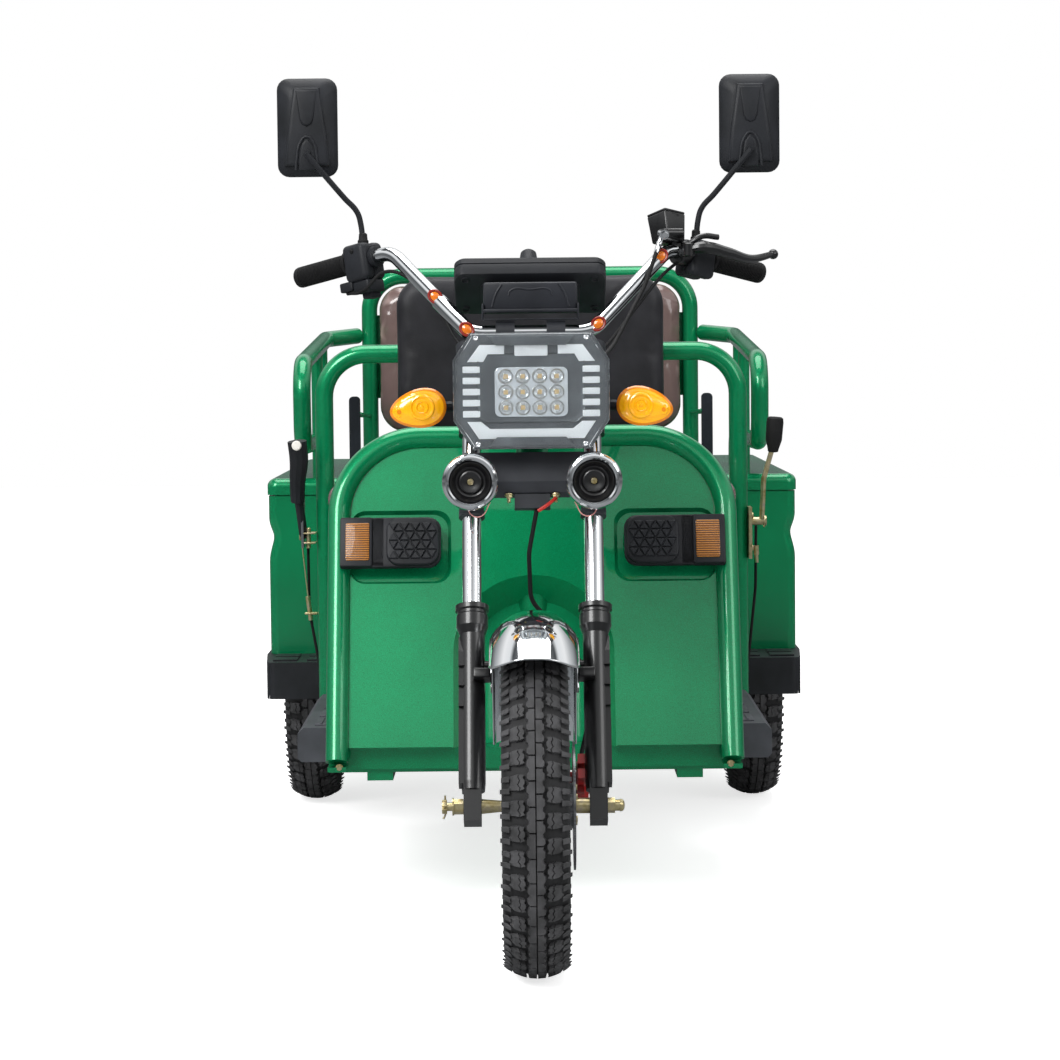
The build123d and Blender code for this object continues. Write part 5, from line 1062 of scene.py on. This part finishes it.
bm = bmesh.new()
for y, z in ring_of(5, DISC_BOLT_RING):
    bolt(bm, (0.0556, FRONT_HUB_Y + y, TYRE_R + z), (1, 0, 0), 0.0042, 0.0030)
piece(bm, "disc_bolts", brass, "front_wheel", "zinc")
for side, body, name in ((1, "rear_wheel_left", "left"), (-1, "rear_wheel_right", "right")):
    bm = bmesh.new()
    for y, z in ring_of(5, WHEEL_NUT_RING):
        bolt(bm, (side * TRACK_HALF, REAR_HUB_Y + y, TYRE_R + z), (side, 0, 0), 0.0085, 0.0120)
    merge(bm, spun([(0.0215, 0.0290), (0.0300, 0.0270), (0.0345, 0.0200), (0.0350, 0.0)], "Z", 32,
                   placed((side * TRACK_HALF, REAR_HUB_Y, TYRE_R), (side, 0, 0))))
    piece(bm, "wheel_nuts_" + name, brass, body, "zinc")

# ---------------------------------------------------------------- driver's levers
# Hand lever: moulded grip with a white button over a toothed steel sector, a bare pull cable and
# its adjuster. Gear lever: zinc-plated rod and plate with screws under a black tapered knob.
LEVER_FOOT = Vector((-0.399, 0.015, 0.555))
LEVER_KNEE = Vector((-0.407, -0.015, 0.640))
LEVER_END = Vector((-0.405, -0.028, 0.724))
SECTOR_TEETH = 15
TOOTH_PITCH = 0.0035
run = [LEVER_KNEE - Vector((0, -0.006, 0.022)), LEVER_KNEE + Vector((0.001, -0.003, 0.014)),
       LEVER_KNEE.lerp(LEVER_END, 0.6) + Vector((0.003, 0, 0)), LEVER_END]
bm = wire(run, 0.0150, (0.80, 0.92, 1.08, 1.12))
rim = [e for e in bm.edges if len(e.link_faces) == 2 and e.calc_face_angle() > 1.2]
bmesh.ops.bevel(bm, geom=rim, offset=0.004, segments=3, profile=0.5, affect="EDGES", material=-1)
merge(bm, wire([LEVER_FOOT, LEVER_KNEE], 0.0078))
piece(bm, "hand_lever_moulded", black_pp, "root", "black_plastic", 35, "handbrake")
bm = spun([(0.0, 0.0), (0.0, 0.0085), (0.0170, 0.0085), (0.0190, 0.0070), (0.0196, 0.0)], "Z", 24,
          placed(LEVER_END - Vector((0, -0.002, 0.010)), (0, -1, 0.18)))
piece(bm, "hand_lever_button", sheath["white"], "root", "black_plastic")
bm = bmesh.new()
teeth = [(-0.020, 0.537), (0.020, 0.537)]
for k in range(SECTOR_TEETH):
    teeth += [(0.026 - TOOTH_PITCH * k, 0.617), (0.0243 - TOOTH_PITCH * k, 0.621)]
merge(bm, plate(teeth, 0.004), Matrix.Translation((-0.3985, 0.020, 0))
      @ Matrix.Rotation(math.radians(90), 4, "Z"))
piece(bm, "hand_lever_sector", turned_steel, "root", "raw_steel")

# yellow-zinc bracket with its pin and nuts, then the pull cable in its adjuster and bracket
bm = bmesh.new()
for z in (0.5440, 0.5610):
    merge(bm, rounded_block((-0.4010, 0.000, z), (-0.3773, 0.032, z + 0.0028), 0.0008))
merge(bm, spun([(0.5360, 0.0), (0.5360, 0.0042), (0.5700, 0.0042), (0.5715, 0.0030), (0.5715, 0.0)], "Z", 16),
      Matrix.Translation((-0.3905, 0.010, 0)))
bolt(bm, (-0.3905, 0.010, 0.5440), (0, 0, -1), 0.0062, 0.0055)
bolt(bm, (-0.3905, 0.010, 0.5638), (0, 0, 1), 0.0062, 0.0055)
bolt(bm, (-0.4020, 0.015, 0.5560), (-1, 0, 0), 0.0062, 0.0050)
merge(bm, wire([LEVER_KNEE + Vector((0.002, 0.003, -0.010)), (-0.4030, 0.010, 0.560),
                (-0.3940, 0.030, 0.446)], 0.0013))
merge(bm, wire([(-0.3948, 0.030, 0.450), (-0.3900, 0.034, 0.408)], 0.0042))
merge(bm, rounded_block((-0.4000, 0.0260, 0.4180), (-0.3780, 0.0420, 0.4215), 0.0010))
for z, way in ((0.4215, 1), (0.4180, -1)):
    bolt(bm, (-0.3920, 0.032, z), (0, 0, way), 0.0062, 0.0050)
piece(bm, "hand_lever_cable", brass, "root", "zinc")

# gear lever's knob, its plate's screws and the end of its cable
at_knob = placed((0.419, -0.014, 0.702), (4, -3, 55))
bm = spun([(-0.006, 0.0052), (-0.005, 0.0088), (0.000, 0.0098), (0.016, 0.0142), (0.046, 0.0148),
           (0.0530, 0.0138), (0.0552, 0.0110), (0.0552, 0.0)], "Z", 32, at_knob)
piece(bm, "gear_knob", soft_rubber, "root", "grip_rubber")
bm = bmesh.new()
for z in (0.528, 0.585):
    bolt(bm, (0.3834, 0.0135, z), (1, 0, 0), 0.0046, 0.0028)
bolt(bm, (0.4050, 0.020, 0.575), (1, 0, 0), 0.0085, 0.0045)
merge(bm, spun([(0.0, 0.0046), (0.016, 0.0046), (0.017, 0.0034), (0.030, 0.0034)], "Z", 16),
      placed((0.391, 0.020, 0.532), (0.03, 0.02, -1)))
piece(bm, "gear_lever_screws", brass, "root", "zinc")

# ---------------------------------------------------------------- foot steps
# Four ribbed treads moulded on each grey footrest, and the zinc-plated bolts that hold the
# shield hoop's feet.
HOOP_BOLT = (0.286, -0.6300, 0.2360)
bm = bmesh.new()
for y in (-0.400, -0.290, -0.180, -0.070):
    merge(bm, rounded_block((0.306, y - 0.038, 0.2800), (0.352, y + 0.038, 0.2832), 0.0012))
    for x in (0.312, 0.322, 0.332, 0.342):
        merge(bm, rounded_block((x - 0.0018, y - 0.034, 0.2828), (x + 0.0018, y + 0.034, 0.2846), 0.0006))
piece(mirrored(bm), "footrest_treads", grey_pp, "root", "grey_plastic")
bm = bmesh.new()
bolt(bm, HOOP_BOLT, (0, 0, -1), 0.0058, 0.0060)
merge(bm, spun([(0.0, 0.0030), (0.0150, 0.0030), (0.0160, 0.0020), (0.0160, 0.0)], "Z", 16),
      placed(HOOP_BOLT, (0, 0, -1)))
bolt(bm, (0.300, -0.6480, 0.2420), (0, -1, 0), 0.0045, 0.0040)
piece(mirrored(bm), "hoop_foot_bolts", brass, "root", "zinc")

# ---------------------------------------------------------------- front mudguard
# Rolled and chromed sheet steel: crowned across, its front lip drawn forward in the middle and
# rounded off at both sides, with a wired edge, tabs at the sides, and lugs on the fork legs.
GUARD_R = 0.275
GUARD_HALF = 0.0605
GUARD_CROWN = 0.036
GUARD_SKIRT = 0.004
SKIRT_START = 0.893
GUARD_REAR = -76.0
ACROSS, ALONG = 28, 56
SHEET_T = 0.0015


def guard_point(u, angle):
    """Point of the mudguard, u from -1 to 1 across and by its angle ahead of the top."""
    side = abs(u)
    x = GUARD_HALF * min(1.0, side * 1.12)
    drop = GUARD_CROWN * (x / GUARD_HALF) ** 2.6
    if side > SKIRT_START:
        drop += GUARD_SKIRT * (side - SKIRT_START) / (1 - SKIRT_START)
    r, a = GUARD_R - drop, math.radians(angle)
    return Vector((math.copysign(x, u), FRONT_HUB_Y - r * math.sin(a), TYRE_R + r * math.cos(a)))


def guard_front(u):
    """Angle of the front lip at u."""
    return 35.5 - 2.0 * u * u - 8.0 * u ** 6


bm = bmesh.new()
grid = []
for j in range(ALONG + 1):
    row = []
    for i in range(ACROSS + 1):
        u = 2 * i / ACROSS - 1
        row.append(bm.verts.new(guard_point(u, GUARD_REAR + (guard_front(u) - GUARD_REAR) * j / ALONG)))
    grid.append(row)
for low_row, high_row in zip(grid, grid[1:]):
    for k in range(ACROSS):
        bm.faces.new((low_row[k], low_row[k + 1], high_row[k + 1], high_row[k]))
bmesh.ops.recalc_face_normals(bm, faces=bm.faces)
bmesh.ops.solidify(bm, geom=bm.faces[:], thickness=SHEET_T)
lip = [guard_point(2 * i / ACROSS - 1, guard_front(2 * i / ACROSS - 1)) for i in range(ACROSS + 1)]
fall = (guard_front(1) - GUARD_REAR) / 10
left, right = [[guard_point(u, guard_front(1) - fall * k) for k in range(11)] for u in (-1, 1)]
merge(bm, wire(left[::-1] + lip[1:-1] + right, 0.0016))
lugs = bmesh.new()
for side in (-1, 1):
    merge(bm, rounded_block((side * 0.0600 - 0.0005, -0.011, 0.170), (side * 0.0630 + 0.0005, 0.011, 0.246),
                            0.0010), at_fork)
    x = side * 0.0745
    merge(lugs, rounded_block((x - 0.0125, -0.0340, 0.1800), (x + 0.0125, -0.0060, 0.1950), 0.0025), at_fork)
piece(lugs, "mudguard_lugs", enamel, "steering", "black_paint")
piece(bm, "mudguard_rolled", chrome, "steering", "chrome", 50, "front_fender")

# ---------------------------------------------------------------- seat stays
# Blades wrapped in blue-black webbing beside the passengers' bench, each tied to the hoop by a
# thin lacquered bar. The weave is drawn 2.6 mm wide, and takes the shine off the steel.
webbing = grained("woven_blue_black_webbing", "#10131b", "#1b1f29", 0.62, 380.0, 0.6)
coat(webbing, "seat_stays")
bm = bmesh.new()
merge(bm, spun([(0.3280, 0.0), (0.3280, 0.0050), (0.3400, 0.0050), (0.3400, 0.0)], "X", 16),
      Matrix.Translation((0, 0.590, 0.755)))
merge(bm, wire([(0.334, 0.590, 0.755), (0.334, 0.760, 0.750), (0.330, 0.935, 0.745)], 0.0050))
piece(mirrored(bm), "seat_stay_ties", green, "root", "green_paint")

# ---------------------------------------------------------------- rear end
# Moulded tail lamps with a red zone over an amber one, both ribbed on the outside; on the
# tailgate two pressed beads, a moulded pull and slide bolts; U-bolts under the leaf springs.
red_lens = material("moulded_red_acrylic", Base_Color=linear("#a8120e"), Roughness=0.16, Coat_Weight=0.8)[0]
coat(red_lens, "tail_lamps")
bases, reds, ambers = bmesh.new(), bmesh.new(), bmesh.new()
merge(bases, rounded_block((0.3845, 1.2353, 0.4700), (0.4645, 1.2530, 0.5600), 0.0050))
for x, z in ((0.3893, 0.5150), (0.4597, 0.5150)):
    bolt(bases, (x, 1.2525, z), (0, 1, 0), 0.0026, 0.0016, 14)
for part, z in ((reds, (0.5180, 0.5560)), (ambers, (0.4740, 0.5120))):
    merge(part, rounded_block((0.3880, 1.2500, z[0]), (0.4610, 1.2592, z[1]), 0.0035))
    for k in range(13):
        x = 0.3940 + 0.0051 * k
        merge(part, rounded_block((x, 1.2560, z[0] + 0.003), (x + 0.0028, 1.2602, z[1] - 0.003), 0.0010, 2))
piece(mirrored(bases), "tail_lamp_bases", black_pp, "root", "black_plastic", 35, "tail_lamps")
piece(mirrored(reds), "tail_lamp_reds", red_lens, "root", "red_lens")
piece(mirrored(ambers), "tail_lamp_ambers", amber, "root", "amber_lens")
bm = bmesh.new()
for z in (0.440, 0.520):
    merge(bm, rounded_block((-0.2900, 1.2440, z), (0.2900, 1.2505, z + 0.018), 0.0060))
piece(bm, "tailgate_beads", green, "tailgate", "green_paint")
bm = rounded_block((-0.0550, 1.2500, 0.5720), (0.0550, 1.2620, 0.5960), 0.0050)
merge(bm, rounded_block((-0.0450, 1.2600, 0.5760), (0.0450, 1.2640, 0.5840), 0.0015))
piece(bm, "tailgate_pull", black_pp, "tailgate", "black_plastic")
bm = bmesh.new()
merge(bm, rounded_block((0.2650, 1.2515, 0.5930), (0.3350, 1.2540, 0.6190), 0.0010))
merge(bm, spun([(0.2620, 0.0), (0.2620, 0.0040), (0.3430, 0.0040), (0.3440, 0.0030), (0.3440, 0.0)], "X", 20),
      Matrix.Translation((0, 1.2585, 0.6060)))
for x in (0.2700, 0.3180):
    merge(bm, rounded_block((x, 1.2530, 0.5985), (x + 0.0100, 1.2640, 0.6135), 0.0020))
merge(bm, wire([(0.2950, 1.2600, 0.6060), (0.2950, 1.2625, 0.5980), (0.2950, 1.2630, 0.5900)], 0.0026))
piece(mirrored(bm), "tailgate_bolts", brass, "tailgate", "zinc")
bm = bmesh.new()
for x in (0.2105, 0.2695):
    merge(bm, wire([(x, 0.6350, 0.3060), (x, 0.6350, 0.2420), (x, 0.6440, 0.2190), (x, 0.6650, 0.2105),
                    (x, 0.6860, 0.2190), (x, 0.6950, 0.2420), (x, 0.6950, 0.3060)], 0.0045))
    for y in (0.635, 0.695):
        bolt(bm, (x, y, 0.2990), (0, 0, 1), 0.0070, 0.0070)
merge(bm, rounded_block((0.2050, 0.6280, 0.2930), (0.2750, 0.7020, 0.2990), 0.0010))
for y in (0.500, 0.830):
    merge(bm, rounded_block((0.2125, y, 0.2655), (0.2675, y + 0.020, 0.2825), 0.0012))
piece(mirrored(bm), "spring_u_bolts", brass, "root", "zinc")

# ---------------------------------------------------------------- upholstery
# Foam pads blown up as cloth round a smaller block, so they crown and pull in between their
# corners: calendered black vinyl on the driver's back, brown vinyl on the others, still in clear
# film, which lies over them in shiny creases about 60 mm apart; the film's colour holds painted
# highlights on the crease ridges and painted shade between them.
VOXEL = 0.006
FILL_PRESSURE = 4.0
FILL_FRAMES = 20

vinyl = grained("calendered_black_vinyl", "#1b1b1e", "#28282c", 0.46, 520.0, 0.5)
film, tree, shader = material("creased_film_over_brown_vinyl", Roughness=0.24, Coat_Weight=0.6,
                              Coat_Roughness=0.10)
place = add(tree, "ShaderNodeTexCoord")
folds_and_sheen = add(tree, "ShaderNodeTexNoise", {"Vector": (place, "Object")},
            {"Scale": 16.0, "Detail": 6.0, "Roughness": 0.62, "Distortion": 1.6},
            noise_type="RIDGED_MULTIFRACTAL")
# painted highlight on the crease ridges and painted shade in their hollows, over the folds' real bump
tint = ramp(tree, (folds_and_sheen, "Fac"), [(0.20, "#6b5754"), (0.50, "#937d78"), (0.80, "#d9cbc7")])
bump = add(tree, "ShaderNodeBump", {"Height": (folds_and_sheen, "Fac")}, {"Strength": 0.55, "Distance": 0.006})
tree.links.new(tint.outputs["Color"], shader.inputs["Base Color"])
tree.links.new(bump.outputs[0], shader.inputs["Normal"])
tree.links.new(bump.outputs[0], shader.inputs["Coat Normal"])


def settled(made):
    """Swaps a piece's mesh for what its modifiers make of it."""
    shape = made.evaluated_get(bpy.context.evaluated_depsgraph_get())
    made.data = bpy.data.meshes.new_from_object(shape)
    made.modifiers.clear()


def cushion(name, lo, hi, shrink, corner, cap):
    """Foam pad from a slab drawn in by shrink, blown up by at most cap and fitted to its box."""
    low, high = [a + s for a, s in zip(lo, shrink)], [b - s for b, s in zip(hi, shrink)]
    size, mid = [b - a for a, b in zip(low, high)], Vector([(a + b) / 2 for a, b in zip(low, high)])
    if size[1] < size[2]:
        bm = plate(rounded(size[0], size[2], corner, 8), size[1], 0.014, 4)
        bmesh.ops.translate(bm, vec=(mid.x, low[1], mid.z), verts=bm.verts)
    else:
        bm = rounded_block(low, high, corner, 5)
    made = link(bm, name)
    remesh = made.modifiers.new("voxels", "REMESH")
    remesh.mode, remesh.voxel_size = "VOXEL", VOXEL
    settled(made)
    before = [v.co.copy() for v in made.data.vertices]
    fill = made.modifiers.new("fill", "CLOTH")
    fill.settings.use_pressure = True
    fill.settings.uniform_pressure_force = FILL_PRESSURE
    fill.settings.effector_weights.gravity = 0.0
    for number in range(1, FILL_FRAMES + 1):
        scene.frame_set(number)
    settled(made)
    scene.frame_set(1)
    for v, start in zip(made.data.vertices, before):
        move = v.co - start
        if move.length > cap:
            v.co = start + move.normalized() * cap
    fine = made.modifiers.new("fine", "SUBSURF")
    fine.levels = fine.render_levels = 1
    settled(made)
    for axis in range(3):
        ends = [v.co[axis] for v in made.data.vertices]
        near, far = min(ends), max(ends)
        for v in made.data.vertices:
            v.co[axis] = lo[axis] + (v.co[axis] - near) * (hi[axis] - lo[axis]) / (far - near)
    return made


for node, finish, slot_name, shrink, corner, cap in (
        ("driver_cushion", film, "wrapped_vinyl", (0.004, 0.012, 0.014), 0.030, 0.020),
        ("driver_backrest", vinyl, "vinyl", (0.004, 0.008, 0.004), 0.050, 0.005),
        ("passenger_cushion", film, "wrapped_vinyl", (0.012, 0.012, 0.012), 0.026, 0.020),
        ("passenger_pad", film, "wrapped_vinyl", (0.006, 0.010, 0.008), 0.050, 0.010)):
    lo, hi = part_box(node)
    made = smooth(cushion(node + "_padded", lo, hi, shrink, corner, cap), 60)
    made.data.materials.clear()
    made.data.materials.append(finish)
    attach(made, "root")
    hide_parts(node)
